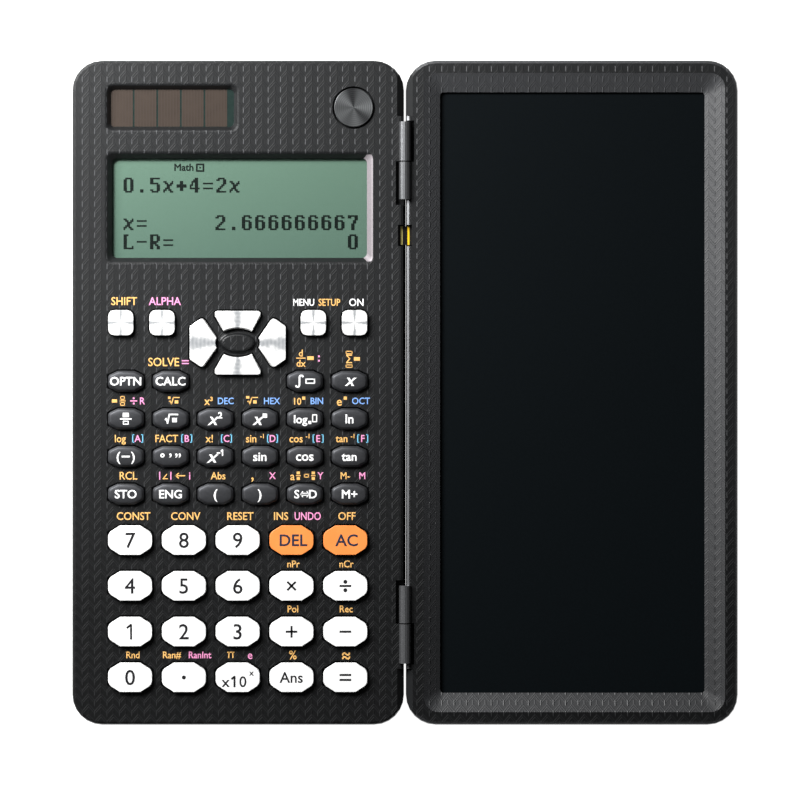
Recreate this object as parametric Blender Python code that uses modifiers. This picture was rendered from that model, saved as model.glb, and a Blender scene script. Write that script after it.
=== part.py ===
"""A folding scientific calculator whose lid is a writing tablet, lying open flat.

The calculator leaf is on the -X side, the tablet leaf on the +X side, and the display end is at +Y.
The origin is the middle of the open footprint, on the surface that the two leaves lie on.
"""

import math

import bmesh
import bpy
from mathutils import Matrix, Vector

MM = 0.001

# Driving sizes of the two leaves
LEAF_LENGTH = 166.2 * MM
LEAF_WIDTH = 83.0 * MM
LEAF_THICKNESS = 8.0 * MM
SEAM_GAP = 0.5 * MM
CORNER_RADIUS = 7.5 * MM

# Moulding
WALL = 1.5 * MM
FLOOR = 1.2 * MM
FACE = 1.5 * MM
HINGE_WALL = 2.8 * MM
SPLIT_HEIGHT = 3.1 * MM
EDGE_ROUND = 0.8 * MM
CLEARANCE = 0.3 * MM

# Key field, as a margin from the leaf's long edges and the gaps between columns
FIELD_MARGIN = 9.1 * MM
NUMBER_COLUMN_GAP = 2.4 * MM
FUNCTION_COLUMN_GAP = 2.25 * MM
NUMBER_COLUMNS = 5
FUNCTION_COLUMNS = 6
SQUARE_PAIR_PITCH = 10.3 * MM

# Heights of what stands in the leaf's length, from the far edge to the near one
SOLAR_HEIGHT = 11.3 * MM
DISPLAY_HEIGHT = 27.5 * MM
SQUARE_KEY = 6.4 * MM
FUNCTION_HEIGHT = 5.2 * MM
NUMBER_HEIGHT = 7.4 * MM
FUNCTION_ROWS = 4
NUMBER_ROWS = 4

# The free lengths between them, which share out what the heights leave of the leaf
EDGE_TO_SOLAR = 6.24 * MM
SOLAR_TO_DISPLAY = 5.65 * MM
DISPLAY_TO_SQUARE = 11.8 * MM
SQUARE_TO_FUNCTION = 8.8 * MM
FUNCTION_ROW_GAP = 4.2 * MM
FUNCTION_TO_NUMBER = 5.2 * MM
NUMBER_ROW_GAP = 4.02 * MM
NUMBER_TO_EDGE = 8.25 * MM

# Keys
FUNCTION_FLAT = 4.1 * MM
FUNCTION_SIDE = 2.9 * MM
NUMBER_FLAT = 5.0 * MM
NUMBER_SIDE = 3.66 * MM
SQUARE_CORNER = 1.7 * MM
KEY_GAP = 0.35 * MM
KEY_LIP = 0.7 * MM
KEY_LIP_DEPTH = 1.25 * MM
KEY_PROUD = 1.4 * MM
KEY_CHAMFER = 0.5 * MM
KEY_TRAVEL = 0.8 * MM
STRIP_WIDTH = 2.0 * MM

# Arrow pad, about its own centre
PAD_BELOW_SQUARE = 5.0 * MM
PAD_HALF_WIDTH = 12.05 * MM
PAD_HALF_HEIGHT = 8.0 * MM
PAD_CORNER = 0.9 * MM
PAD_HOLLOW = (5.5 * MM, 3.6 * MM)
BOSS_HALF = (4.9 * MM, 2.6 * MM)
BOSS_PROUD = 0.9 * MM
UP_INNER_HALF = 3.5 * MM
UP_OUTER_HALF = 6.5 * MM
SIDE_INNER_HALF = 1.2 * MM
SIDE_OUTER_HALF = 4.1 * MM
SIDE_SHOULDER = (8.75 * MM, 6.45 * MM)

# Display, solar cell and erase button
DISPLAY_LEFT_MARGIN = 8.65 * MM
DISPLAY_RIGHT_MARGIN = 7.95 * MM
DISPLAY_SLOPE = 1.3 * MM
DISPLAY_CORNER = 1.5 * MM
DISPLAY_FOOT_CORNER = 1.2 * MM
PANEL_OVERLAP = 0.9 * MM
WINDOW_THICKNESS = 0.5 * MM
PANEL_THICKNESS = 1.1 * MM
CONNECTOR_WIDTH = 2.0 * MM
CONNECTOR_INSET = 3.0 * MM
SOLAR_WIDTH = 32.7 * MM
SOLAR_MARGIN = 8.65 * MM
SOLAR_SLOPE = 0.9 * MM
SOLAR_THICKNESS = 1.0 * MM
ERASE_RADIUS = 4.95 * MM
ERASE_LIP = 1.15 * MM
ERASE_PROUD = 0.6 * MM
ERASE_GAP = 0.4 * MM
ERASE_MARGIN = 12.55 * MM
ERASE_ROUND = 0.35 * MM

# Boards, mat and battery
BOARD_THICKNESS = 0.8 * MM
BOARD_LIFT = 0.4 * MM
BOARD_END_MARGIN = 5.1 * MM
MAT_THICKNESS = 0.6 * MM
MAT_BORDER = 1.6 * MM
NUB_RADIUS = 1.7 * MM
NUB_TIP_RADIUS = 1.2 * MM
CHIP_RADIUS = 5.0 * MM
CHIP_HEIGHT = 0.8 * MM
SWITCH_SIZE = 6.0 * MM
BATTERY_DIAMETER = 20.0 * MM
BATTERY_THICKNESS = 2.5 * MM
BATTERY_RIM = 1.2 * MM
BATTERY_WALL_GAP = 1.2 * MM
BOARD_BATTERY_GAP = 0.8 * MM
CLIP_WIDTH = 4.0 * MM
CLIP_THICKNESS = 0.2 * MM
DOOR_THICKNESS = 0.7 * MM
DOOR_SINK = 0.1 * MM
DOOR_BORDER = 1.5 * MM
DOOR_EAR = 4.4 * MM
DOOR_CORNER = 2.0 * MM
LEDGE_HALF_WIDTH = 3.0 * MM
LEDGE_LENGTH = 6.5 * MM

# Screws
CASE_SCREW_HEAD = 1.8 * MM
CASE_SCREW_SHANK = 0.75 * MM
CASE_SCREW_LENGTH = 5.4 * MM
CASE_HEAD_HEIGHT = 0.8 * MM
DOOR_SCREW_HEAD = 1.6 * MM
DOOR_SCREW_LENGTH = 2.4 * MM
DOOR_HEAD_HEIGHT = 0.35 * MM
HEAD_GAP = 0.25 * MM
SHANK_GAP = 0.2 * MM
BOSS_RADIUS = 2.3 * MM
REAR_POST_RADIUS = 2.6 * MM
BOSS_EDGE = 5.05 * MM
BOSS_END = 5.6 * MM
HEAD_SINK = 0.1 * MM

# Hinges and ribbon
HINGE_OUTER_END = 67.7 * MM
HINGE_INNER_END = 48.3 * MM
KNUCKLE_SPLIT = 57.75 * MM
KNUCKLE_RADIUS = 1.45 * MM
KNUCKLE_GAP = 0.3 * MM
NOTCH_REACH = 2.3 * MM
NOTCH_DEPTH = 1.9 * MM
NOTCH_END_GAP = 1.4 * MM
PIN_RADIUS = 0.6 * MM
PIN_CLEARANCE = 0.08 * MM
PIN_END_WALL = 1.4 * MM
FOLD_GAP = 0.3 * MM
SEAM_RELIEF = 1.7 * MM
RIBBON_FAR = 41.95 * MM
RIBBON_NEAR = 36.6 * MM
RIBBON_THICKNESS = 0.15 * MM
RIBBON_SIDE_GAP = 0.35 * MM
RIBBON_SLOT = 1.0 * MM
RIBBON_NOTCH = 1.5 * MM

# Tablet
RIM = 3.2 * MM
HINGE_RIM = 4.45 * MM
SLOPE_OUTER = 5.0 * MM
SLOPE_HINGE = 4.1 * MM
SLOPE_END = 4.7 * MM
SLOPE_DROP = 2.0 * MM
RECESS_CORNER = 4.0 * MM
WINDOW_CORNER = 0.8 * MM
LIP_THICKNESS = 0.6 * MM
WRITING_THICKNESS = 1.2 * MM
WRITING_OVERLAP = 1.5 * MM
TABLET_BOARD_LENGTH = 18.0 * MM
TABLET_BOARD_WIDTH = 12.0 * MM

# Levels above the surface, worked out from the sizes above
FACE_UNDER = LEAF_THICKNESS - FACE
LIP_TOP = FACE_UNDER - CLEARANCE
LIP_BOTTOM = LIP_TOP - KEY_LIP_DEPTH
FRONT_BOTTOM = SPLIT_HEIGHT + CLEARANCE
BOARD_BOTTOM = FLOOR + BOARD_LIFT
BOARD_TOP = BOARD_BOTTOM + BOARD_THICKNESS
MAT_BOTTOM = BOARD_TOP + CLEARANCE
MAT_TOP = MAT_BOTTOM + MAT_THICKNESS
NUB_TOP = LIP_BOTTOM - KEY_TRAVEL - CLEARANCE
WINDOW_BOTTOM = LIP_TOP - WINDOW_THICKNESS
PANEL_TOP = WINDOW_BOTTOM - CLEARANCE
PANEL_BOTTOM = PANEL_TOP - PANEL_THICKNESS
BATTERY_BOTTOM = FLOOR + CLEARANCE
BATTERY_TOP = BATTERY_BOTTOM + BATTERY_THICKNESS
HINGE_HEIGHT = LEAF_THICKNESS + FOLD_GAP / 2
WINDOW_EDGE = LEAF_THICKNESS - SLOPE_DROP
FRAME_UNDER = WINDOW_EDGE - LIP_THICKNESS
WRITING_TOP = FRAME_UNDER - CLEARANCE
WRITING_BOTTOM = WRITING_TOP - WRITING_THICKNESS
RIBBON_HEIGHT = FACE_UNDER - RIBBON_SLOT / 2

# Places in plan, worked out the same way
HALF_LENGTH = LEAF_LENGTH / 2
SEAM = SEAM_GAP / 2
OUTER = SEAM + LEAF_WIDTH
FIELD_LEFT = -OUTER + FIELD_MARGIN
FIELD_RIGHT = -SEAM - FIELD_MARGIN
FIELD_MIDDLE = (FIELD_LEFT + FIELD_RIGHT) / 2
FIELD_WIDTH = FIELD_RIGHT - FIELD_LEFT
NUMBER_PITCH = (FIELD_WIDTH + NUMBER_COLUMN_GAP) / NUMBER_COLUMNS
NUMBER_WIDTH = NUMBER_PITCH - NUMBER_COLUMN_GAP
FUNCTION_PITCH = (FIELD_WIDTH + FUNCTION_COLUMN_GAP) / FUNCTION_COLUMNS
FUNCTION_WIDTH = FUNCTION_PITCH - FUNCTION_COLUMN_GAP

ROW_HEIGHTS = FUNCTION_ROWS * FUNCTION_HEIGHT + NUMBER_ROWS * NUMBER_HEIGHT
HEIGHTS = SOLAR_HEIGHT + DISPLAY_HEIGHT + SQUARE_KEY + ROW_HEIGHTS
FREE_ROWS = (FUNCTION_ROWS - 1) * FUNCTION_ROW_GAP + (NUMBER_ROWS - 1) * NUMBER_ROW_GAP
FREE_ABOVE = EDGE_TO_SOLAR + SOLAR_TO_DISPLAY + DISPLAY_TO_SQUARE
FREE_BELOW = SQUARE_TO_FUNCTION + FUNCTION_TO_NUMBER + NUMBER_TO_EDGE
SPREAD = (LEAF_LENGTH - HEIGHTS) / (FREE_ROWS + FREE_ABOVE + FREE_BELOW)

SOLAR_TOP = HALF_LENGTH - EDGE_TO_SOLAR * SPREAD
SOLAR_Y = SOLAR_TOP - SOLAR_HEIGHT / 2
DISPLAY_TOP = SOLAR_TOP - SOLAR_HEIGHT - SOLAR_TO_DISPLAY * SPREAD
DISPLAY_Y = DISPLAY_TOP - DISPLAY_HEIGHT / 2
SQUARE_TOP = DISPLAY_TOP - DISPLAY_HEIGHT - DISPLAY_TO_SQUARE * SPREAD
SQUARE_Y = SQUARE_TOP - SQUARE_KEY / 2
FUNCTION_TOP = SQUARE_TOP - SQUARE_KEY - SQUARE_TO_FUNCTION * SPREAD
FUNCTION_Y = FUNCTION_TOP - FUNCTION_HEIGHT / 2
FUNCTION_ROW_PITCH = FUNCTION_HEIGHT + FUNCTION_ROW_GAP * SPREAD
NUMBER_ROW_PITCH = NUMBER_HEIGHT + NUMBER_ROW_GAP * SPREAD
NUMBER_BOTTOM_Y = -HALF_LENGTH + NUMBER_TO_EDGE * SPREAD + NUMBER_HEIGHT / 2

PAD_X = FIELD_MIDDLE
PAD_Y = SQUARE_Y - PAD_BELOW_SQUARE
DISPLAY_LEFT = -OUTER + DISPLAY_LEFT_MARGIN
DISPLAY_RIGHT = -SEAM - DISPLAY_RIGHT_MARGIN
DISPLAY_X = (DISPLAY_LEFT + DISPLAY_RIGHT) / 2
DISPLAY_WIDTH = DISPLAY_RIGHT - DISPLAY_LEFT
SOLAR_X = -OUTER + SOLAR_MARGIN + SOLAR_WIDTH / 2
ERASE_X = -SEAM - ERASE_MARGIN
ERASE_Y = SOLAR_Y
BATTERY_RADIUS = BATTERY_DIAMETER / 2
BATTERY_X = (SOLAR_X + SOLAR_WIDTH / 2 + ERASE_X - ERASE_RADIUS - ERASE_LIP) / 2
BATTERY_Y = HALF_LENGTH - WALL - BATTERY_WALL_GAP - BATTERY_RADIUS
DOOR_FAR = BATTERY_Y + BATTERY_RADIUS + CLEARANCE
DOOR_NEAR = BATTERY_Y - BATTERY_RADIUS - DOOR_EAR
DOOR_HALF_WIDTH = BATTERY_RADIUS + DOOR_BORDER
DOOR_SCREW_Y = BATTERY_Y - BATTERY_RADIUS - DOOR_EAR / 2
BOARD_MARGIN = BOSS_EDGE + REAR_POST_RADIUS + CLEARANCE
BOARD_LEFT = -OUTER + BOARD_MARGIN
BOARD_RIGHT = -SEAM - BOARD_MARGIN
BOARD_FAR = BATTERY_Y - BATTERY_RADIUS - BOARD_BATTERY_GAP
RIBBON_MIDDLE = (RIBBON_FAR + RIBBON_NEAR) / 2
RIBBON_WIDTH = RIBBON_FAR - RIBBON_NEAR - 2 * RIBBON_SIDE_GAP

ARC_STEPS = 6
ROUND_STEPS = 24
THROUGH = 1.0 * MM

NUMBER_KEYS = (
    ("key_0", "key_point", "key_exponent", "key_answer", "key_equals"),
    ("key_1", "key_2", "key_3", "key_plus", "key_minus"),
    ("key_4", "key_5", "key_6", "key_multiply", "key_divide"),
    ("key_7", "key_8", "key_9", "key_delete", "key_all_clear"),
)
# Each strip of function keys is one moulding: its name, its row from the top, and its columns.
FUNCTION_STRIPS = (
    ("function_keys_a_left", 0, (0, 1)),
    ("function_keys_a_right", 0, (4, 5)),
    ("function_keys_b_left", 1, (0, 1, 2)),
    ("function_keys_b_right", 1, (3, 4, 5)),
    ("function_keys_c_left", 2, (0, 1, 2)),
    ("function_keys_c_right", 2, (3, 4, 5)),
    ("function_keys_d_left", 3, (0, 1, 2)),
    ("function_keys_d_right", 3, (3, 4, 5)),
)


# ---------------------------------------------------------------- scene and helpers


def clear_scene():
    for obj in list(bpy.data.objects):
        bpy.data.objects.remove(obj, do_unlink=True)


def new_collection(name):
    collection = bpy.data.collections.new(name)
    bpy.context.scene.collection.children.link(collection)
    return collection


def linear(hex_colour):
    """The linear RGBA value of an sRGB hex colour."""
    channels = [int(hex_colour[i : i + 2], 16) / 255 for i in (1, 3, 5)]
    return [c / 12.92 if c <= 0.04045 else ((c + 0.055) / 1.055) ** 2.4 for c in channels] + [1.0]


def surface(name, hex_colour, roughness, metallic=0.0):
    material = bpy.data.materials.new(name)
    material.use_nodes = True
    shader = material.node_tree.nodes["Principled BSDF"]
    shader.inputs["Base Color"].default_value = linear(hex_colour)
    shader.inputs["Roughness"].default_value = roughness
    shader.inputs["Metallic"].default_value = metallic
    material.diffuse_color = linear(hex_colour)
    return material


def add_object(name, mesh, collection, material=None):
    obj = bpy.data.objects.new(name, mesh)
    collection.objects.link(obj)
    if material:
        obj.data.materials.append(material)
    return obj


def add_part(name, mesh, material):
    return add_object(name, mesh, parts, material)


def add_helper(name, mesh):
    """A cutter or an added body: it is never rendered, and shows as wire."""
    obj = add_object(name, mesh, helpers)
    obj.hide_render = True
    obj.display_type = "WIRE"
    return obj


def finish_mesh(bm, name):
    bmesh.ops.remove_doubles(bm, verts=bm.verts, dist=0.001 * MM)
    bmesh.ops.recalc_face_normals(bm, faces=bm.faces)
    mesh = bpy.data.meshes.new(name)
    bm.to_mesh(mesh)
    bm.free()
    return mesh


def combine(target, helper, operation):
    modifier = target.modifiers.new(helper.name, "BOOLEAN")
    modifier.operation = operation
    modifier.solver = "EXACT"
    modifier.object = helper


def edges_at_height(bm, height):
    return [e for e in bm.edges if all(abs(v.co.z - height) < 0.01 * MM for v in e.verts)]


def round_edges(bm, edges, radius, steps):
    bmesh.ops.bevel(bm, geom=edges, offset=radius, segments=steps, affect="EDGES", profile=0.5)


def add_box(bm, low, high, corner=0.0, steps=ARC_STEPS):
    """A box between two corners, with its upright edges rounded to the radius corner."""
    size = Vector(high) - Vector(low)
    middle = (Vector(high) + Vector(low)) / 2
    box = bmesh.new()
    place = Matrix.Translation(middle) @ Matrix.Diagonal((*size, 1.0))
    bmesh.ops.create_cube(box, size=1.0, matrix=place)
    if corner:
        upright = [e for e in box.edges if abs(e.verts[0].co.z - e.verts[1].co.z) > size.z / 2]
        round_edges(box, upright, corner, steps)
    mesh = bpy.data.meshes.new("box")
    box.to_mesh(mesh)
    box.free()
    bm.from_mesh(mesh)
    bpy.data.meshes.remove(mesh)


def box_mesh(name, low, high, corner=0.0, steps=ARC_STEPS):
    bm = bmesh.new()
    add_box(bm, low, high, corner, steps)
    return finish_mesh(bm, name)


def add_cylinder(bm, centre, radius, length, axis="Z", segments=ROUND_STEPS, tip=None, flatten=1.0):
    """A cylinder, or a cone if tip is given, from centre along axis; flatten scales it along Y."""
    turn = Matrix.Rotation(-math.pi / 2, 4, "X") if axis == "Y" else Matrix.Identity(4)
    place = Matrix.Translation(centre) @ turn @ Matrix.Translation((0, 0, length / 2))
    bmesh.ops.create_cone(
        bm,
        cap_ends=True,
        segments=segments,
        radius1=radius,
        radius2=radius if tip is None else tip,
        depth=length,
        matrix=place @ Matrix.Diagonal((1, flatten, 1, 1)),
    )


def add_tapered_box(bm, low, high, slopes, corner, foot_corner):
    """A recess cutter: high gives its mouth, and slopes say how far each side leans in at its foot."""
    box = bmesh.new()
    add_box(box, low, high, corner)
    left, right, near, far = slopes
    middle = (Vector(high) + Vector(low)) / 2
    for vertex in box.verts:
        if vertex.co.z > middle.z:
            continue
        # Each foot vertex keeps its direction from its corner's centre, at the foot's own radius.
        side_x, mouth_x, lean_x = (-1, low[0], left) if vertex.co.x < middle.x else (1, high[0], right)
        side_y, mouth_y, lean_y = (-1, low[1], near) if vertex.co.y < middle.y else (1, high[1], far)
        turn_x = (vertex.co.x - mouth_x + side_x * corner) / corner
        turn_y = (vertex.co.y - mouth_y + side_y * corner) / corner
        vertex.co.x = mouth_x - side_x * (lean_x + foot_corner) + turn_x * foot_corner
        vertex.co.y = mouth_y - side_y * (lean_y + foot_corner) + turn_y * foot_corner
    mesh = bpy.data.meshes.new("taper")
    box.to_mesh(mesh)
    box.free()
    bm.from_mesh(mesh)
    bpy.data.meshes.remove(mesh)


def arc(centre, radii, start, end, steps):
    """Points on an ellipse from the angle start to the angle end, in radians."""
    angles = [start + (end - start) * i / steps for i in range(steps + 1)]
    return [(centre[0] + radii[0] * math.cos(a), centre[1] + radii[1] * math.sin(a)) for a in angles]


def octagon(width, height, flat, side):
    """An elongated octagon about its own centre, anticlockwise."""
    w, h, f, s = width / 2, height / 2, flat / 2, side / 2
    return [(w, -s), (w, s), (f, h), (-f, h), (-w, s), (-w, -s), (-f, -h), (f, -h)]


def rounded_square(size, radius):
    reach = size / 2 - radius
    points = []
    for quarter, (sx, sy) in enumerate(((1, 1), (-1, 1), (-1, -1), (1, -1))):
        start = quarter * math.pi / 2
        points += arc((sx * reach, sy * reach), (radius, radius), start, start + math.pi / 2, 3)
    return points


def grown(outline, distance):
    """The outline with each side moved outwards by distance, and its corners mitred."""
    result = []
    for i, point in enumerate(outline):
        before = Vector(outline[i - 1])
        here = Vector(point)
        after = Vector(outline[(i + 1) % len(outline)])
        first = (here - before).normalized()
        second = (after - here).normalized()
        normal = Vector((first.y + second.y, -first.x - second.x)).normalized()
        stretch = normal.dot(Vector((first.y, -first.x)))
        moved = here + normal * distance / stretch
        result.append((moved.x, moved.y))
    return result


def flat_mesh(name, outline, low, high):
    """A mesh of a flat outline between two heights, made from a filled 2D curve."""
    curve = bpy.data.curves.new(name, "CURVE")
    curve.dimensions = "2D"
    curve.fill_mode = "BOTH"
    curve.extrude = (high - low) / 2
    spline = curve.splines.new("POLY")
    spline.points.add(len(outline) - 1)
    for point, (x, y) in zip(spline.points, outline):
        point.co = (x, y, 0, 1)
    spline.use_cyclic_u = True
    holder = bpy.data.objects.new(name, curve)
    bpy.context.scene.collection.objects.link(holder)
    evaluated = holder.evaluated_get(bpy.context.evaluated_depsgraph_get())
    raw = bpy.data.meshes.new_from_object(evaluated)
    bm = bmesh.new()
    bm.from_mesh(raw)
    bmesh.ops.translate(bm, verts=bm.verts, vec=(0, 0, (high + low) / 2))
    bpy.data.objects.remove(holder, do_unlink=True)
    bpy.data.curves.remove(curve)
    bpy.data.meshes.remove(raw)
    return finish_mesh(bm, name)


def stamp(bm, mesh, place):
    """Adds a copy of the mesh to bm at a place in plan."""
    before = set(bm.verts)
    bm.from_mesh(mesh)
    bmesh.ops.translate(bm, verts=[v for v in bm.verts if v not in before], vec=(*place, 0))


def turned(name, profile, place, material, steps=ROUND_STEPS):
    """A profile of (radius, height) points, from the top at the axis outwards, turned about Z."""
    mesh = bpy.data.meshes.new(name)
    bm = bmesh.new()
    points = [bm.verts.new((radius, 0, height)) for radius, height in profile]
    for upper, lower in zip(points, points[1:]):
        bm.edges.new((upper, lower))
    bm.to_mesh(mesh)
    bm.free()
    obj = add_part(name, mesh, material)
    obj.location = (*place, 0)
    screw = obj.modifiers.new("turn", "SCREW")
    screw.axis = "Z"
    screw.steps = steps
    screw.render_steps = steps
    screw.use_merge_vertices = True
    screw.merge_threshold = 0.01 * MM
    screw.use_smooth_shade = True
    return obj


def fold_with_tablet(obj):
    """Parents a piece of the tablet leaf to the empty on the fold axis, where it lies."""
    obj.parent = fold_axis
    obj.matrix_parent_inverse = Matrix.Translation(fold_axis.location).inverted()


# ---------------------------------------------------------------- key outlines and places


def number_place(row, column):
    x = FIELD_LEFT + NUMBER_WIDTH / 2 + column * NUMBER_PITCH
    return (x, NUMBER_BOTTOM_Y + row * NUMBER_ROW_PITCH)


def function_place(row, column):
    x = FIELD_LEFT + FUNCTION_WIDTH / 2 + column * FUNCTION_PITCH
    return (x, FUNCTION_Y - row * FUNCTION_ROW_PITCH)


def square_places():
    left = FIELD_LEFT + SQUARE_KEY / 2
    right = FIELD_RIGHT - SQUARE_KEY / 2
    return {
        "key_shift": (left, SQUARE_Y),
        "key_alpha": (left + SQUARE_PAIR_PITCH, SQUARE_Y),
        "key_menu": (right - SQUARE_PAIR_PITCH, SQUARE_Y),
        "key_power": (right, SQUARE_Y),
    }


def rounded_corners(corners, radius):
    """Each sharp corner of the outline as three points of a round, for corners that turn left."""
    points = []
    for i, corner in enumerate(corners):
        here = Vector(corner)
        back = (Vector(corners[i - 1]) - here).normalized()
        ahead = (Vector(corners[(i + 1) % len(corners)]) - here).normalized()
        bisector = (back + ahead).normalized()
        half_angle = math.acos(max(-1.0, min(1.0, back.dot(bisector))))
        along = radius / math.tan(half_angle)
        middle = here + bisector * (radius / math.sin(half_angle) - radius)
        points += [tuple(here + back * along), tuple(middle), tuple(here + ahead * along)]
    return points


def arrow_outlines():
    """The four arrow keys about the pad's centre, anticlockwise, hollowed round the oval boss."""
    a, b = PAD_HOLLOW
    up_angle = math.acos(UP_INNER_HALF / a)
    side_angle = math.asin(SIDE_INNER_HALF / b)
    up_hollow = arc((0, 0), PAD_HOLLOW, math.pi - up_angle, up_angle, ARC_STEPS)
    outer_tips = [(UP_OUTER_HALF, PAD_HALF_HEIGHT), (-UP_OUTER_HALF, PAD_HALF_HEIGHT)]
    up_tips = [up_hollow[-1], *outer_tips, up_hollow[0]]
    up = up_hollow[:-1] + up_tips[:1] + rounded_corners(up_tips, PAD_CORNER)[3:9]
    shoulder_x, shoulder_y = SIDE_SHOULDER
    side_hollow = arc((0, 0), PAD_HOLLOW, side_angle, -side_angle, 4)
    side_tips = [
        side_hollow[-1],
        (shoulder_x, -shoulder_y),
        (PAD_HALF_WIDTH, -SIDE_OUTER_HALF),
        (PAD_HALF_WIDTH, SIDE_OUTER_HALF),
        (shoulder_x, shoulder_y),
        side_hollow[0],
    ]
    right = side_hollow[:-1] + side_tips[:1] + rounded_corners(side_tips, PAD_CORNER)[3:15]
    return {
        "arrow_up": up,
        "arrow_down": [(-x, -y) for x, y in up],
        "arrow_right": right,
        "arrow_left": [(-x, -y) for x, y in right],
    }


def key_mesh(name, outline, proud=KEY_PROUD, chamfer=KEY_CHAMFER):
    """A key cap rising from its lip: the lip is kept under the case by the smaller opening above it."""
    mesh = flat_mesh(name, grown(outline, KEY_LIP), LIP_BOTTOM, LIP_TOP)
    bm = bmesh.new()
    bm.from_mesh(mesh)
    flat_top = [f for f in bm.faces if f.normal.z > 0.5]
    top = bmesh.ops.dissolve_faces(bm, faces=flat_top)["region"]
    rise = LEAF_THICKNESS + proud - LIP_TOP - chamfer
    for inset, depth in ((KEY_LIP, 0.0), (0.0, rise), (chamfer, chamfer)):
        bmesh.ops.inset_region(bm, faces=top, thickness=inset, depth=depth, use_even_offset=True)
    bm.to_mesh(mesh)
    bm.free()
    return mesh


def key_openings():
    """Every key as its outline and the places that it repeats at."""
    squares = list(square_places().values())
    numbers = [number_place(r, c) for r in range(NUMBER_ROWS) for c in range(NUMBER_COLUMNS)]
    functions = [function_place(row, c) for _, row, columns in FUNCTION_STRIPS for c in columns]
    openings = [(square_outline, squares), (number_outline, numbers), (function_outline, functions)]
    return openings + [(outline, [(PAD_X, PAD_Y)]) for outline in arrow_outlines().values()]


# ---------------------------------------------------------------- what both leaves share


def leaf_box(bm, side, low, high, inset, hinge_inset):
    """A rounded box over one leaf: side is -1 for the calculator and 1 for the tablet."""
    near = side * (SEAM + hinge_inset)
    far = side * (OUTER - inset)
    reach = HALF_LENGTH - inset
    corner = CORNER_RADIUS - inset
    add_box(bm, (min(near, far), -reach, low), (max(near, far), reach, high), corner)


def shell_mesh(name, side, low, high, rounded_at):
    """The outer form of a leaf's half shell, with the edges at one height rounded."""
    bm = bmesh.new()
    leaf_box(bm, side, low, high, 0.0, 0.0)
    round_edges(bm, edges_at_height(bm, rounded_at), EDGE_ROUND, 2)
    return finish_mesh(bm, name)


def knuckle_ends(side, end):
    """Where a leaf's knuckle lies along Y: the calculator's is the outer one of the two."""
    if side < 0:
        low, high = KNUCKLE_SPLIT + KNUCKLE_GAP / 2, HINGE_OUTER_END
    else:
        low, high = HINGE_INNER_END, KNUCKLE_SPLIT - KNUCKLE_GAP / 2
    return (low, high) if end > 0 else (-high, -low)


def add_knuckles(bm, side):
    for end in (-1, 1):
        low, high = knuckle_ends(side, end)
        add_cylinder(bm, (0, low, HINGE_HEIGHT), KNUCKLE_RADIUS, high - low, axis="Y", segments=16)


def add_hinge_notches(bm, side):
    """The notches that clear the other leaf's knuckles."""
    for end in (-1, 1):
        low, high = knuckle_ends(-side, end)
        outward = NOTCH_END_GAP if side < 0 else CLEARANCE
        inward = KNUCKLE_GAP - 0.05 * MM
        # The calculator's notch has its free end towards the middle, and the tablet's outwards.
        free_low = (side < 0) == (end > 0)
        low -= outward if free_low else inward
        high += inward if free_low else outward
        reach = side * NOTCH_REACH
        foot = HINGE_HEIGHT - NOTCH_DEPTH
        add_box(bm, (min(0, reach), low, foot), (max(0, reach), high, HINGE_HEIGHT + THROUGH))


def add_pin_bores(bm, side):
    """The blind bore in each of the leaf's knuckles, open towards the other leaf's knuckle."""
    for end in (-1, 1):
        low, high = knuckle_ends(side, end)
        open_at_low = (side < 0) == (end > 0)
        bore_low = low - KNUCKLE_GAP / 2 if open_at_low else low + PIN_END_WALL
        bore_high = high - PIN_END_WALL if open_at_low else high + KNUCKLE_GAP / 2
        bore = PIN_RADIUS + PIN_CLEARANCE
        add_cylinder(bm, (0, bore_low, HINGE_HEIGHT), bore, bore_high - bore_low, axis="Y", segments=16)


def add_seam_relief(bm, side):
    """The chamfers beyond the hinges, where the leaves' edges fall away from each other."""
    width = SEAM_RELIEF * math.sqrt(2)
    start = HINGE_OUTER_END + NOTCH_END_GAP
    length = HALF_LENGTH + THROUGH - start
    for end in (-1, 1):
        middle = (side * SEAM, end * (start + length / 2), LEAF_THICKNESS)
        place = Matrix.Translation(middle) @ Matrix.Rotation(math.pi / 4, 4, "Y")
        bmesh.ops.create_cube(bm, size=1.0, matrix=place @ Matrix.Diagonal((width, length, width, 1.0)))


def add_ribbon_cut(bm, side):
    """The ribbon's slot through the hinge wall, and the notch that opens it to the face at the seam."""
    low = RIBBON_HEIGHT - RIBBON_SLOT / 2
    wall = side * (SEAM + HINGE_WALL + THROUGH)
    notch = side * (SEAM + RIBBON_NOTCH)
    add_box(bm, (min(0, wall), RIBBON_NEAR, low), (max(0, wall), RIBBON_FAR, FACE_UNDER - 0.1 * MM))
    add_box(
        bm,
        (min(0, notch), RIBBON_NEAR, low - 0.1 * MM),
        (max(0, notch), RIBBON_FAR, LEAF_THICKNESS + THROUGH),
    )


# ---------------------------------------------------------------- calculator leaf


def boss_places():
    far = HALF_LENGTH - BOSS_END
    left = -OUTER + BOSS_EDGE
    right = -SEAM - BOSS_EDGE
    return [(x, y) for y in (far, -far) for x in (left, right)]


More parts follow.
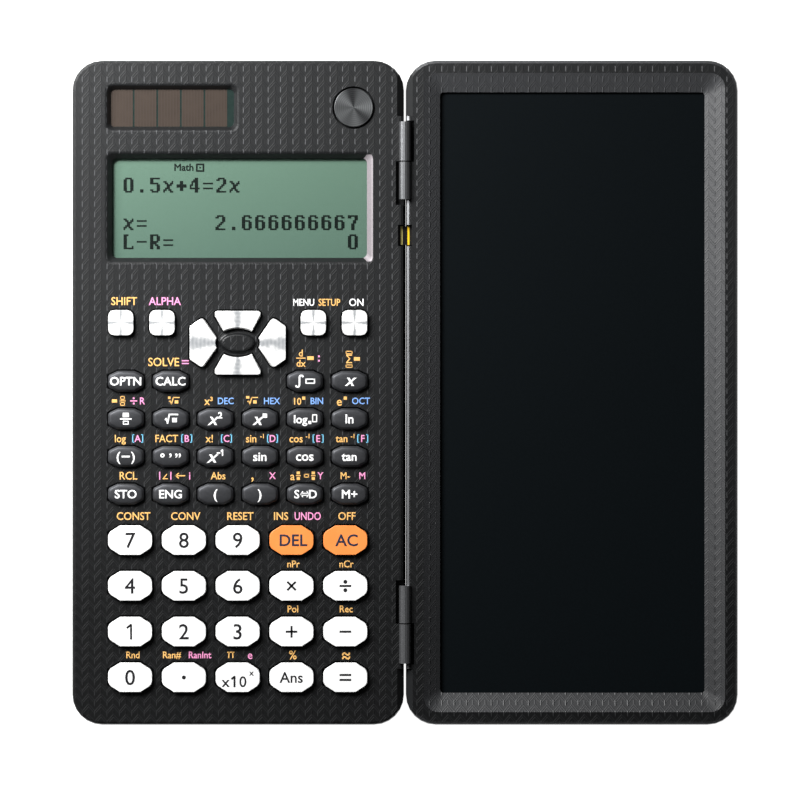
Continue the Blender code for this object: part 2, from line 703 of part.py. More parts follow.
def make_front_case():
    shell = shell_mesh("front_case", -1, FRONT_BOTTOM, LEAF_THICKNESS, LEAF_THICKNESS)
    case = add_part("front_case", shell, black)

    cavity = bmesh.new()
    leaf_box(cavity, -1, FRONT_BOTTOM - THROUGH, FACE_UNDER, WALL, HINGE_WALL)
    combine(case, add_helper("front_cavity", finish_mesh(cavity, "front_cavity")), "DIFFERENCE")

    added = bmesh.new()
    for x, y in boss_places():
        height = FACE_UNDER + FACE / 2 - FRONT_BOTTOM
        add_cylinder(added, (x, y, FRONT_BOTTOM), BOSS_RADIUS, height, segments=12)
    add_knuckles(added, -1)
    boss_foot = (PAD_X, PAD_Y, FACE_UNDER + FACE / 2)
    tip = BOSS_HALF[0] - BOSS_PROUD
    height = FACE / 2 + BOSS_PROUD
    add_cylinder(added, boss_foot, BOSS_HALF[0], height, tip=tip, flatten=BOSS_HALF[1] / BOSS_HALF[0])
    combine(case, add_helper("front_added", finish_mesh(added, "front_added")), "UNION")

    cuts = bmesh.new()
    for outline, places in key_openings():
        wider = grown(outline, KEY_GAP)
        opening = flat_mesh("opening", wider, FACE_UNDER - THROUGH, LEAF_THICKNESS + THROUGH)
        for place in places:
            stamp(cuts, opening, place)
    erase_foot = (ERASE_X, ERASE_Y, FACE_UNDER - THROUGH)
    add_cylinder(cuts, erase_foot, ERASE_RADIUS + ERASE_GAP, FACE + 2 * THROUGH)
    combine(case, add_helper("front_openings", finish_mesh(cuts, "front_openings")), "DIFFERENCE")

    recesses = bmesh.new()
    for x, y, width, height, slope in (
        (DISPLAY_X, DISPLAY_Y, DISPLAY_WIDTH, DISPLAY_HEIGHT, DISPLAY_SLOPE),
        (SOLAR_X, SOLAR_Y, SOLAR_WIDTH, SOLAR_HEIGHT, SOLAR_SLOPE),
    ):
        # The slope reaches its full width at the face's underside, so the cutter runs on in proportion.
        lean = slope / FACE
        depth = 0.1 * MM
        add_tapered_box(
            recesses,
            (x - width / 2 - depth * lean, y - height / 2 - depth * lean, FACE_UNDER - depth),
            (x + width / 2 + depth * lean, y + height / 2 + depth * lean, LEAF_THICKNESS + depth),
            [lean * (FACE + 2 * depth)] * 4,
            DISPLAY_CORNER,
            DISPLAY_FOOT_CORNER,
        )
    add_hinge_notches(recesses, -1)
    add_seam_relief(recesses, -1)
    hole = CASE_SCREW_SHANK + SHANK_GAP
    for x, y in boss_places():
        foot = (x, y, FRONT_BOTTOM - THROUGH)
        add_cylinder(recesses, foot, hole, FACE_UNDER - FRONT_BOTTOM + THROUGH - CLEARANCE, segments=12)
    combine(case, add_helper("front_recesses", finish_mesh(recesses, "front_recesses")), "DIFFERENCE")

    bores = bmesh.new()
    add_pin_bores(bores, -1)
    combine(case, add_helper("front_bores", finish_mesh(bores, "front_bores")), "DIFFERENCE")

    slot = bmesh.new()
    add_ribbon_cut(slot, -1)
    cut_ribbon_slot(case, slot, "front_ribbon")


def cut_ribbon_slot(case, bm, name):
    """The slot and its notch overlap, so they are made one body before they cut."""
    mesh = finish_mesh(bm, name)
    helper = add_helper(name, mesh)
    modifier = case.modifiers.new(name, "BOOLEAN")
    modifier.operation = "DIFFERENCE"
    modifier.solver = "EXACT"
    modifier.use_self = True
    modifier.object = helper


def make_rear_case():
    case = add_part("rear_case", shell_mesh("rear_case", -1, 0.0, SPLIT_HEIGHT, 0.0), black)
    cavity = bmesh.new()
    leaf_box(cavity, -1, FLOOR, SPLIT_HEIGHT + THROUGH, WALL, HINGE_WALL)
    combine(case, add_helper("rear_cavity", finish_mesh(cavity, "rear_cavity")), "DIFFERENCE")

    door = bmesh.new()
    gap = CLEARANCE
    add_box(
        door,
        (BATTERY_X - DOOR_HALF_WIDTH - gap, DOOR_NEAR - gap, -THROUGH),
        (BATTERY_X + DOOR_HALF_WIDTH + gap, DOOR_FAR + gap, FLOOR + THROUGH),
        DOOR_CORNER,
        2,
    )
    combine(case, add_helper("door_opening", finish_mesh(door, "door_opening")), "DIFFERENCE")

    added = bmesh.new()
    for x, y in boss_places():
        add_cylinder(added, (x, y, FLOOR / 2), REAR_POST_RADIUS, SPLIT_HEIGHT - FLOOR / 2, segments=12)
    ledge_far = BATTERY_Y - BATTERY_RADIUS - CLEARANCE
    add_box(
        added,
        (BATTERY_X - LEDGE_HALF_WIDTH, ledge_far - LEDGE_LENGTH, DOOR_SINK + DOOR_THICKNESS + CLEARANCE),
        (BATTERY_X + LEDGE_HALF_WIDTH, ledge_far, SPLIT_HEIGHT - CLEARANCE),
    )
    combine(case, add_helper("rear_added", finish_mesh(added, "rear_added")), "UNION")

    heads = bmesh.new()
    for x, y in boss_places():
        depth = HEAD_SINK + CASE_HEAD_HEIGHT + CLEARANCE
        add_cylinder(heads, (x, y, -THROUGH), CASE_SCREW_HEAD + HEAD_GAP, depth + THROUGH, segments=16)
    combine(case, add_helper("rear_heads", finish_mesh(heads, "rear_heads")), "DIFFERENCE")

    shanks = bmesh.new()
    for x, y in boss_places():
        length = SPLIT_HEIGHT + THROUGH
        add_cylinder(shanks, (x, y, HEAD_SINK), CASE_SCREW_SHANK + SHANK_GAP, length, segments=12)
    blind = SPLIT_HEIGHT - 2 * CLEARANCE - HEAD_SINK
    foot = (BATTERY_X, DOOR_SCREW_Y, HEAD_SINK)
    add_cylinder(shanks, foot, CASE_SCREW_SHANK + SHANK_GAP, blind, segments=12)
    combine(case, add_helper("rear_shanks", finish_mesh(shanks, "rear_shanks")), "DIFFERENCE")


def make_display():
    half_width = DISPLAY_WIDTH / 2 - DISPLAY_SLOPE + PANEL_OVERLAP
    half_height = DISPLAY_HEIGHT / 2 - DISPLAY_SLOPE + PANEL_OVERLAP
    left, right = DISPLAY_X - half_width, DISPLAY_X + half_width
    near, far = DISPLAY_Y - half_height, DISPLAY_Y + half_height
    window = box_mesh("display_window", (left, near, WINDOW_BOTTOM), (right, far, LIP_TOP))
    add_part("display_window", window, clear)
    panel = box_mesh("display_panel", (left, near, PANEL_BOTTOM), (right, far, PANEL_TOP))
    add_part("display_panel", panel, display_green)
    connector = box_mesh(
        "display_connector",
        (left + CONNECTOR_INSET, near + CLEARANCE, BOARD_TOP + CLEARANCE),
        (right - CONNECTOR_INSET, near + CLEARANCE + CONNECTOR_WIDTH, PANEL_BOTTOM - CLEARANCE),
    )
    add_part("display_connector", connector, rubber)


def make_solar_cell():
    half_width = SOLAR_WIDTH / 2 - SOLAR_SLOPE + PANEL_OVERLAP
    half_height = SOLAR_HEIGHT / 2 - SOLAR_SLOPE + PANEL_OVERLAP
    mesh = box_mesh(
        "solar_cell",
        (SOLAR_X - half_width, SOLAR_Y - half_height, LIP_TOP - SOLAR_THICKNESS),
        (SOLAR_X + half_width, SOLAR_Y + half_height, LIP_TOP),
    )
    add_part("solar_cell", mesh, solar_brown)


def make_erase_button():
    top = LEAF_THICKNESS + ERASE_PROUD
    lip = ERASE_RADIUS + ERASE_LIP
    profile = [
        (0, top),
        (ERASE_RADIUS - ERASE_ROUND, top),
        (ERASE_RADIUS, top - ERASE_ROUND),
        (ERASE_RADIUS, LIP_TOP),
        (lip, LIP_TOP),
        (lip, LIP_BOTTOM),
        (0, LIP_BOTTOM),
    ]
    turned("erase_button", profile, (ERASE_X, ERASE_Y), dark_metal)


def make_number_keys():
    mesh = key_mesh("number_key", number_outline)
    for row, names in enumerate(NUMBER_KEYS):
        for column, name in enumerate(names):
            own = mesh.copy()
            own.name = name
            orange_key = name in ("key_delete", "key_all_clear")
            key = add_part(name, own, orange if orange_key else white)
            key.location = (*number_place(row, column), 0)


def make_square_keys():
    mesh = key_mesh("square_key", square_outline)
    for name, place in square_places().items():
        own = mesh.copy()
        own.name = name
        key = add_part(name, own, silver)
        key.location = (*place, 0)


def make_arrow_keys():
    for name, outline in arrow_outlines().items():
        key = add_part(name, key_mesh(name, outline), silver)
        key.location = (PAD_X, PAD_Y, 0)


def make_function_keys():
    """Two or three caps on one strip, which runs under the case from the first cap to the last."""
    cap = key_mesh("function_key", function_outline)
    for name, row, columns in FUNCTION_STRIPS:
        first = function_place(row, columns[0])
        last = function_place(row, columns[-1])
        middle = ((first[0] + last[0]) / 2, first[1])
        reach = (last[0] - first[0]) / 2
        strip = box_mesh(
            name,
            (-reach, -STRIP_WIDTH / 2, LIP_BOTTOM + CLEARANCE),
            (reach, STRIP_WIDTH / 2, LIP_TOP - CLEARANCE),
        )
        part = add_part(name, strip, gloss_black)
        part.location = (*middle, 0)
        caps = bmesh.new()
        for column in columns:
            stamp(caps, cap, function_place(row, column))
        combine(part, add_helper(name + "_caps", finish_mesh(caps, name + "_caps")), "UNION")


def make_keypad_mat():
    low = (FIELD_LEFT - MAT_BORDER / 2, NUMBER_BOTTOM_Y - NUMBER_HEIGHT / 2 - MAT_BORDER, MAT_BOTTOM)
    high = (FIELD_RIGHT + MAT_BORDER / 2, SQUARE_TOP + MAT_BORDER, MAT_TOP)
    mat = add_part("keypad_mat", box_mesh("keypad_mat", low, high, 2.0 * MM, 2), silicone)
    nubs = bmesh.new()
    places = [place for _, repeats in key_openings()[:3] for place in repeats]
    side = (PAD_HOLLOW[0] + PAD_HALF_WIDTH) / 2
    rise = (PAD_HOLLOW[1] + PAD_HALF_HEIGHT) / 2
    places += [(PAD_X + dx, PAD_Y + dy) for dx, dy in ((side, 0), (-side, 0), (0, rise), (0, -rise))]
    for x, y in places:
        foot = (x, y, MAT_TOP - MAT_THICKNESS / 2)
        add_cylinder(nubs, foot, NUB_RADIUS, NUB_TOP - foot[2], segments=6, tip=NUB_TIP_RADIUS)
    combine(mat, add_helper("mat_nubs", finish_mesh(nubs, "mat_nubs")), "UNION")


def make_circuit_board():
    """The main board, with a tab beside the battery that carries the erase switch."""
    near = -HALF_LENGTH + BOARD_END_MARGIN
    far = HALF_LENGTH - BOARD_END_MARGIN - WALL
    tab_left = BATTERY_X + BATTERY_RADIUS + BOARD_BATTERY_GAP
    notch = LEDGE_HALF_WIDTH + CLEARANCE
    notch_near = BATTERY_Y - BATTERY_RADIUS - 2 * CLEARANCE - LEDGE_LENGTH
    outline = [
        (BOARD_LEFT, near),
        (BOARD_RIGHT, near),
        (BOARD_RIGHT, far),
        (tab_left, far),
        (tab_left, BOARD_FAR),
        (BATTERY_X + notch, BOARD_FAR),
        (BATTERY_X + notch, notch_near),
        (BATTERY_X - notch, notch_near),
        (BATTERY_X - notch, BOARD_FAR),
        (BOARD_LEFT, BOARD_FAR),
    ]
    outer = flat_mesh("circuit_board", outline, BOARD_BOTTOM, BOARD_TOP)
    board = add_part("circuit_board", outer, board_green)
    added = bmesh.new()
    foot = BOARD_TOP - BOARD_THICKNESS / 2
    chip_height = BOARD_TOP + CHIP_HEIGHT - foot
    add_cylinder(added, (DISPLAY_X, DISPLAY_Y, foot), CHIP_RADIUS, chip_height, segments=12)
    add_box(
        added,
        (ERASE_X - SWITCH_SIZE / 2, ERASE_Y - SWITCH_SIZE / 2, foot),
        (ERASE_X + SWITCH_SIZE / 2, ERASE_Y + SWITCH_SIZE / 2, NUB_TOP),
    )
    combine(board, add_helper("board_added", finish_mesh(added, "board_added")), "UNION")


def make_battery():
    rim = BATTERY_BOTTOM + BATTERY_THICKNESS * 0.2
    profile = [
        (0, BATTERY_TOP),
        (BATTERY_RADIUS, BATTERY_TOP),
        (BATTERY_RADIUS, rim),
        (BATTERY_RADIUS - BATTERY_RIM, BATTERY_BOTTOM),
        (0, BATTERY_BOTTOM),
    ]
    turned("battery", profile, (BATTERY_X, BATTERY_Y), steel)


def strip_part(name, path, width, middle_y, thickness, material):
    """A bent flat strip: its path of (x, z) points is drawn out along Y and thickened."""
    bm = bmesh.new()
    line = [bm.verts.new((x, middle_y - width / 2, z)) for x, z in path]
    edges = [bm.edges.new(pair) for pair in zip(line, line[1:])]
    drawn = bmesh.ops.extrude_edge_only(bm, edges=edges)["geom"]
    far_side = [g for g in drawn if isinstance(g, bmesh.types.BMVert)]
    bmesh.ops.translate(bm, verts=far_side, vec=(0, width, 0))
    bmesh.ops.recalc_face_normals(bm, faces=bm.faces)
    mesh = bpy.data.meshes.new(name)
    bm.to_mesh(mesh)
    bm.free()
    obj = add_part(name, mesh, material)
    solidify = obj.modifiers.new("thickness", "SOLIDIFY")
    solidify.thickness = thickness
    solidify.offset = 0.0
    solidify.use_even_offset = True
    return obj


def make_battery_clip():
    foot_x = BATTERY_X + BATTERY_RADIUS + BOARD_BATTERY_GAP + CLIP_THICKNESS * 2
    top = BATTERY_TOP + 0.25 * MM
    path = [
        (foot_x + 2.5 * MM, BOARD_TOP + CLEARANCE),
        (foot_x, BOARD_TOP + CLEARANCE),
        (foot_x - 0.2 * MM, top),
        (BATTERY_X, top),
    ]
    strip_part("battery_clip", path, CLIP_WIDTH, BATTERY_Y - BATTERY_RADIUS / 2, CLIP_THICKNESS, steel)


def make_battery_door():
    low = (BATTERY_X - DOOR_HALF_WIDTH, DOOR_NEAR, DOOR_SINK)
    high = (BATTERY_X + DOOR_HALF_WIDTH, DOOR_FAR, DOOR_SINK + DOOR_THICKNESS)
    plate = box_mesh("battery_door", low, high, DOOR_CORNER - CLEARANCE, 2)
    door = add_part("battery_door", plate, black)
    sink = bmesh.new()
    foot = (BATTERY_X, DOOR_SCREW_Y, -THROUGH)
    counterbore = HEAD_SINK + DOOR_HEAD_HEIGHT + 0.05 * MM
    add_cylinder(sink, foot, DOOR_SCREW_HEAD + HEAD_GAP, counterbore + THROUGH, segments=16)
    combine(door, add_helper("door_counterbore", finish_mesh(sink, "door_counterbore")), "DIFFERENCE")
    hole = bmesh.new()
    add_cylinder(hole, foot, CASE_SCREW_SHANK + SHANK_GAP, FLOOR + 2 * THROUGH, segments=12)
    combine(door, add_helper("door_hole", finish_mesh(hole, "door_hole")), "DIFFERENCE")


def screw(name, place, head_radius, head_height, length):
    top = HEAD_SINK + length
    profile = [
        (0, top),
        (CASE_SCREW_SHANK, top),
        (CASE_SCREW_SHANK, HEAD_SINK + head_height),
        (head_radius, HEAD_SINK + head_height),
        (head_radius, HEAD_SINK),
        (0, HEAD_SINK),
    ]
    turned(name, profile, place, steel, steps=12)


def make_screws():
    corners = ("far_left", "far_right", "near_left", "near_right")
    names = ["case_screw_" + corner for corner in corners]
    for name, place in zip(names, boss_places()):
        screw(name, place, CASE_SCREW_HEAD, CASE_HEAD_HEIGHT, CASE_SCREW_LENGTH)
    screw(
        "battery_door_screw",
        (BATTERY_X, DOOR_SCREW_Y),
        DOOR_SCREW_HEAD,
        DOOR_HEAD_HEIGHT,
        DOOR_SCREW_LENGTH,
    )


# ---------------------------------------------------------------- hinges and ribbon


def make_hinge_pins():
    for name, end in (("hinge_pin_upper", 1), ("hinge_pin_lower", -1)):
        low = HINGE_INNER_END + PIN_END_WALL + CLEARANCE
        high = HINGE_OUTER_END - PIN_END_WALL - CLEARANCE
        start = low if end > 0 else -high
        bm = bmesh.new()
        add_cylinder(bm, (0, start, HINGE_HEIGHT), PIN_RADIUS, high - low, axis="Y", segments=16)
        add_part(name, finish_mesh(bm, name), steel)


def make_ribbon():
    """It rises from the calculator's board to the slots, and drops to the tablet's board."""
    seat = BOARD_TOP + CLEARANCE + RIBBON_THICKNESS
    wall = SEAM + HINGE_WALL
    rise = RIBBON_HEIGHT - seat
    path = [
        (-wall - 7.2 * MM, seat),
        (-wall - 4.4 * MM, seat),
        (-wall - 3.6 * MM, seat + rise * 0.3),
        (-wall - 3.0 * MM, seat + rise * 0.7),
        (-wall - 1.8 * MM, RIBBON_HEIGHT),
        (wall + 0.6 * MM, RIBBON_HEIGHT),
        (wall + 1.2 * MM, RIBBON_HEIGHT - 0.4 * MM),
        (wall + 1.2 * MM, seat + 0.3 * MM),
        (wall + 2.0 * MM, seat),
        (wall + 5.0 * MM, seat),
    ]
    strip_part("ribbon_cable", path, RIBBON_WIDTH, RIBBON_MIDDLE, RIBBON_THICKNESS, amber)


# ---------------------------------------------------------------- tablet leaf


def make_tablet_frame():
    shell = shell_mesh("tablet_frame", 1, FRONT_BOTTOM, LEAF_THICKNESS, LEAF_THICKNESS)
    frame = add_part("tablet_frame", shell, black)
    cavity = bmesh.new()
    leaf_box(cavity, 1, FRONT_BOTTOM - THROUGH, FRAME_UNDER, WALL, HINGE_WALL)
    combine(frame, add_helper("tablet_cavity", finish_mesh(cavity, "tablet_cavity")), "DIFFERENCE")

    knuckles = bmesh.new()
    add_knuckles(knuckles, 1)
    combine(frame, add_helper("tablet_knuckles", finish_mesh(knuckles, "tablet_knuckles")), "UNION")

    recess = bmesh.new()
    lean_hinge = SLOPE_HINGE / SLOPE_DROP
    lean_outer = SLOPE_OUTER / SLOPE_DROP
    lean_end = SLOPE_END / SLOPE_DROP
    over = 0.2 * MM
    reach = HALF_LENGTH - RIM
    add_tapered_box(
        recess,
        (SEAM + HINGE_RIM - over * lean_hinge, -reach - over * lean_end, WINDOW_EDGE - over),
        (OUTER - RIM + over * lean_outer, reach + over * lean_end, LEAF_THICKNESS + over),
        [lean * (SLOPE_DROP + 2 * over) for lean in (lean_hinge, lean_outer, lean_end, lean_end)],
        RECESS_CORNER,
        WINDOW_CORNER,
    )
    add_hinge_notches(recess, 1)
    add_seam_relief(recess, 1)
    combine(frame, add_helper("tablet_recess", finish_mesh(recess, "tablet_recess")), "DIFFERENCE")

    bores = bmesh.new()
    add_pin_bores(bores, 1)
    combine(frame, add_helper("tablet_bores", finish_mesh(bores, "tablet_bores")), "DIFFERENCE")

    window = bmesh.new()
    add_box(
        window,
        (SEAM + HINGE_RIM + SLOPE_HINGE, -reach + SLOPE_END, FRAME_UNDER - THROUGH),
        (OUTER - RIM - SLOPE_OUTER, reach - SLOPE_END, WINDOW_EDGE + 0.1 * MM),
        WINDOW_CORNER,
        3,
    )
    combine(frame, add_helper("tablet_window", finish_mesh(window, "tablet_window")), "DIFFERENCE")

    slot = bmesh.new()
    low = RIBBON_HEIGHT - RIBBON_SLOT / 2
    add_box(slot, (0, RIBBON_NEAR, low), (SEAM + HINGE_WALL - CLEARANCE, RIBBON_FAR, FACE_UNDER))
    notch_high = (SEAM + RIBBON_NOTCH, RIBBON_FAR, LEAF_THICKNESS + THROUGH)
    add_box(slot, (0, RIBBON_NEAR, low - 0.1 * MM), notch_high)
    well_near = SEAM + HINGE_WALL - CLEARANCE - 0.1 * MM
    add_box(
        slot,
        (well_near, RIBBON_NEAR - 0.1 * MM, FRAME_UNDER - THROUGH),
        (well_near + 2.4 * MM, RIBBON_FAR + 0.1 * MM, FACE_UNDER + 0.1 * MM),
    )
    cut_ribbon_slot(frame, slot, "tablet_ribbon")
    fold_with_tablet(frame)


def make_tablet_back():
    back = add_part("tablet_back", shell_mesh("tablet_back", 1, 0.0, SPLIT_HEIGHT, 0.0), black)
    cavity = bmesh.new()
    leaf_box(cavity, 1, FLOOR, SPLIT_HEIGHT + THROUGH, WALL, HINGE_WALL)
    cutter = add_helper("tablet_back_cavity", finish_mesh(cavity, "tablet_back_cavity"))
    combine(back, cutter, "DIFFERENCE")
    fold_with_tablet(back)


def make_writing_panel():
    reach = HALF_LENGTH - RIM - SLOPE_END + WRITING_OVERLAP
    low = (SEAM + HINGE_RIM + SLOPE_HINGE - WRITING_OVERLAP, -reach, WRITING_BOTTOM)
    high = (OUTER - RIM - SLOPE_OUTER + WRITING_OVERLAP, reach, WRITING_TOP)
    panel = add_part("writing_panel", box_mesh("writing_panel", low, high), writing_film)
    fold_with_tablet(panel)


def make_tablet_board():
    near_x = SEAM + HINGE_WALL + 2 * CLEARANCE
    low = (near_x, RIBBON_MIDDLE - TABLET_BOARD_LENGTH / 2, BOARD_BOTTOM)
    high = (near_x + TABLET_BOARD_WIDTH, RIBBON_MIDDLE + TABLET_BOARD_LENGTH / 2, BOARD_TOP)
    board = add_part("tablet_board", box_mesh("tablet_board", low, high), board_green)
    fold_with_tablet(board)


# ---------------------------------------------------------------- the object

clear_scene()
parts = new_collection("folding_calculator")
helpers = new_collection("helpers")

black = surface("moulded_black_abs", "#2B2C2E", 0.55)
gloss_black = surface("gloss_black_abs", "#131415", 0.2)
white = surface("white_abs", "#F2F1EE", 0.35)
orange = surface("orange_abs", "#F08337", 0.35)
silver = surface("plated_silver", "#C9C9C7", 0.25, 0.9)
dark_metal = surface("spun_dark_metal", "#4A4A4C", 0.3, 0.9)
steel = surface("nickel_steel", "#B5B5B0", 0.35, 1.0)
clear = surface("clear_acrylic", "#DCE6E0", 0.05)
display_green = surface("display_green", "#7AA68E", 0.2)
solar_brown = surface("solar_glass", "#3A2A24", 0.2)
rubber = surface("grey_elastomer", "#3C3D40", 0.8)
silicone = surface("silicone_mat", "#8C8F94", 0.7)
board_green = surface("circuit_board_green", "#2F6B46", 0.5)
amber = surface("amber_polyimide", "#C98A1E", 0.35)
writing_film = surface("writing_film", "#10171A", 0.15)

fold_axis = bpy.data.objects.new("fold_axis", None)
fold_axis.location = (0, 0, HINGE_HEIGHT)
parts.objects.link(fold_axis)

number_outline = octagon(NUMBER_WIDTH, NUMBER_HEIGHT, NUMBER_FLAT, NUMBER_SIDE)
function_outline = octagon(FUNCTION_WIDTH, FUNCTION_HEIGHT, FUNCTION_FLAT, FUNCTION_SIDE)
square_outline = rounded_square(SQUARE_KEY, SQUARE_CORNER)

make_front_case()
make_rear_case()
make_display()
make_solar_cell()
make_erase_button()
make_number_keys()
make_square_keys()
make_arrow_keys()
make_function_keys()
make_keypad_mat()
make_circuit_board()
make_battery()
make_battery_clip()
make_battery_door()
make_screws()
make_hinge_pins()
make_ribbon()
make_tablet_frame()
make_tablet_back()
make_writing_panel()
make_tablet_board()
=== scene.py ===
"""Looks of a folding scientific calculator whose lid is a writing tablet, lying open flat.

Lengths are in metres, x runs to the tablet's side, y to the display end and z up from the table.
"""

import math

import bmesh
import bpy
from mathutils import Matrix, Vector


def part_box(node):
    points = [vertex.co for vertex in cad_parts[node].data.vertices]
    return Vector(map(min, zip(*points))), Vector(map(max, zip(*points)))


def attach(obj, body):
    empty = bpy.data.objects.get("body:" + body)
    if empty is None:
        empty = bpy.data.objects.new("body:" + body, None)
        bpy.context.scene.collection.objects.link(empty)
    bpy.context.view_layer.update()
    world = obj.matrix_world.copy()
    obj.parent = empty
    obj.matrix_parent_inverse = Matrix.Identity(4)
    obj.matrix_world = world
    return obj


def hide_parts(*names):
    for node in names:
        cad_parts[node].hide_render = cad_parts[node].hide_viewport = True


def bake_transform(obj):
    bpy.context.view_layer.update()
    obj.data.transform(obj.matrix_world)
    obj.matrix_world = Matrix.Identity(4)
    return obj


MM = 0.001
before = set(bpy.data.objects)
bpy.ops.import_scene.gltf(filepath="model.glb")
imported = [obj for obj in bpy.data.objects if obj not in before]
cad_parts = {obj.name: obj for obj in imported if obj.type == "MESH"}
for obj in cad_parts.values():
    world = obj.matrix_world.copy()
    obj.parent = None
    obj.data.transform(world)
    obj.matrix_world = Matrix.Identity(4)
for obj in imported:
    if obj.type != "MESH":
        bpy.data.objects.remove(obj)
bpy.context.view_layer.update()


# ------------ case mouldings
# Five shells of black ABS, injection moulded with a raised knit of fine ribs on their faces and
# undersides, the knit's ribs and ground painted paler or darker along the case as painted light and
# shade, and its slopes round the writing panel painted brighter as painted light. The side walls
# are satin and the hinge barrels gunmetal; one wall of the display recess is painted pale and a
# strip of the tablet's edge at the seam gunmetal as painted highlights. Screws from below hold each
# pair.


def linear(hex_colour):
    """The linear RGBA value of an sRGB hex colour."""
    channels = [int(hex_colour[i : i + 2], 16) / 255 for i in (1, 3, 5)]
    return [c / 12.92 if c <= 0.04045 else ((c + 0.055) / 1.055) ** 2.4 for c in channels] + [1.0]


def add_node(material, kind, inputs=None, **settings):
    """Adds a node. Inputs take a value, an sRGB hex colour or another node's output."""
    made = material.node_tree.nodes.new("ShaderNode" + kind)
    for name, value in settings.items():
        setattr(made, name, value)
    for name, value in (inputs or {}).items():
        if isinstance(value, bpy.types.NodeSocket):
            material.node_tree.links.new(value, made.inputs[name])
        else:
            made.inputs[name].default_value = linear(value) if isinstance(value, str) else value
    return made


def new_material(name, colour, roughness, **sockets):
    """A material of one principled shader."""
    material = bpy.data.materials.new(name)
    material.use_nodes = True
    shader = material.node_tree.nodes["Principled BSDF"]
    sockets = {"Base Color": colour, "Roughness": roughness, **sockets}
    for socket, value in sockets.items():
        shader.inputs[socket].default_value = linear(value) if isinstance(value, str) else value
    material.diffuse_color = linear(colour)
    return material


def feed(material, output, socket):
    """Joins a node's output to a socket of the material's shader."""
    shader = material.node_tree.nodes["Principled BSDF"]
    material.node_tree.links.new(output, shader.inputs[socket])


def object_place(material):
    return add_node(material, "TexCoord").outputs["Object"]


def noise(material, place, scale, detail=2.0):
    inputs = {"Vector": place, "Scale": scale, "Detail": detail}
    return add_node(material, "TexNoise", inputs).outputs["Fac"]


def work_out(material, operation, *values, clamp=False):
    """The output of a sum of numbers and other nodes' outputs."""
    inputs = dict(enumerate(values))
    return add_node(material, "Math", inputs, operation=operation, use_clamp=clamp).outputs[0]


def remap(material, value, low, high, new_low=0.0, new_high=1.0):
    inputs = dict(enumerate((value, low, high, new_low, new_high)))
    return add_node(material, "MapRange", inputs).outputs[0]


def mix(material, share, low, high, blend_type="MIX"):
    """Mixes two colours, more of the second as the share grows."""
    inputs = {0: share, 6: low, 7: high}
    made = add_node(material, "Mix", inputs, data_type="RGBA", blend_type=blend_type)
    return made.outputs[2]


def emboss(material, height, distance, strength):
    inputs = {"Height": height, "Distance": distance, "Strength": strength}
    feed(material, add_node(material, "Bump", inputs).outputs[0], "Normal")


def mottle(material, low, high, scale, detail=2.0):
    """Varies the colour finely between two, and returns the output that it follows."""
    cloud = noise(material, object_place(material), scale, detail)
    feed(material, mix(material, cloud, low, high), "Base Color")
    return cloud


def only(piece):
    """Makes the piece the only selected one, and the active one."""
    bpy.ops.object.select_all(action="DESELECT")
    piece.select_set(True)
    bpy.context.view_layer.objects.active = piece


def open_for_edit(piece, kind, wanted):
    """Opens the piece in edit mode with the elements selected that wanted() holds for."""
    only(piece)
    bpy.ops.object.mode_set(mode="EDIT")
    bpy.ops.mesh.select_mode(type=kind)
    bpy.ops.mesh.select_all(action="DESELECT")
    shape = bmesh.from_edit_mesh(piece.data)
    for element in {"VERT": shape.verts, "EDGE": shape.edges, "FACE": shape.faces}[kind]:
        if wanted(element):
            element.select_set(True)
    shape.select_flush_mode()
    bmesh.update_edit_mesh(piece.data)


def close_edit():
    bpy.ops.object.mode_set(mode="OBJECT")


def bevel(piece, wanted, offset, segments, loop_slide=True):
    """Rounds the piece's edges that wanted() holds for."""
    open_for_edit(piece, "EDGE", wanted)
    bpy.ops.mesh.bevel(offset=offset, segments=segments, loop_slide=loop_slide)
    close_edit()


def new_piece(name, mesh):
    mesh.name = name
    piece = bpy.data.objects.new(name, mesh)
    bpy.context.scene.collection.objects.link(piece)
    return piece


def from_node(node, name):
    """A copy of a CAD node's mesh as a new piece, its corners merged and its flats whole."""
    piece = new_piece(name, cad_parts[node].data.copy())
    piece.data.materials.clear()
    open_for_edit(piece, "VERT", lambda vertex: True)
    bpy.ops.mesh.customdata_custom_splitnormals_clear()
    bpy.ops.mesh.remove_doubles(threshold=0.002 * MM)
    bpy.ops.mesh.dissolve_limited(angle_limit=math.radians(0.5))
    close_edit()
    return piece


def smooth(piece, degrees=32, flat_area=2.0):
    """Shades rounds smoothly, and leaves level faces and those over flat_area mm2 flat."""
    only(piece)
    bpy.ops.object.shade_smooth_by_angle(angle=math.radians(degrees))
    for face in piece.data.polygons:
        if face.area > flat_area * MM * MM or abs(face.normal.z) > 0.9999:
            face.use_smooth = False


def fit(piece, body, slot, *nodes):
    """Fixes a finished piece to its body, in place of the CAD nodes that it stands for."""
    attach(piece, body)
    if nodes:
        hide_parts(*nodes)


# Moulded ABS, spark-eroded: a dark satin with raised ribs. Its ribs are painted paler than the
# ground as painted highlight, and ground, zigzags and stems are graded from the key end to the
# display end as painted light and shade.
KNIT_WIDTH = 3.1 * MM
KNIT_HEIGHT = 2.6 * MM
KNIT_PHASE = 0.9 * MM
KNIT_SLOPE = 1.15
SECOND_RIB = 0.7 * MM
RIB_HALF_WIDTH = 0.22 * MM
RIB_RISE = 0.32
STEM_HALF_WIDTH = 0.24 * MM
SHORT_STEM_RISE = 0.3
HANGS_PAST = 0.48
STANDS_BELOW = 0.42
GRAIN_SHARE = 0.25
KEY_END = -55 * MM
DISPLAY_END = 30 * MM


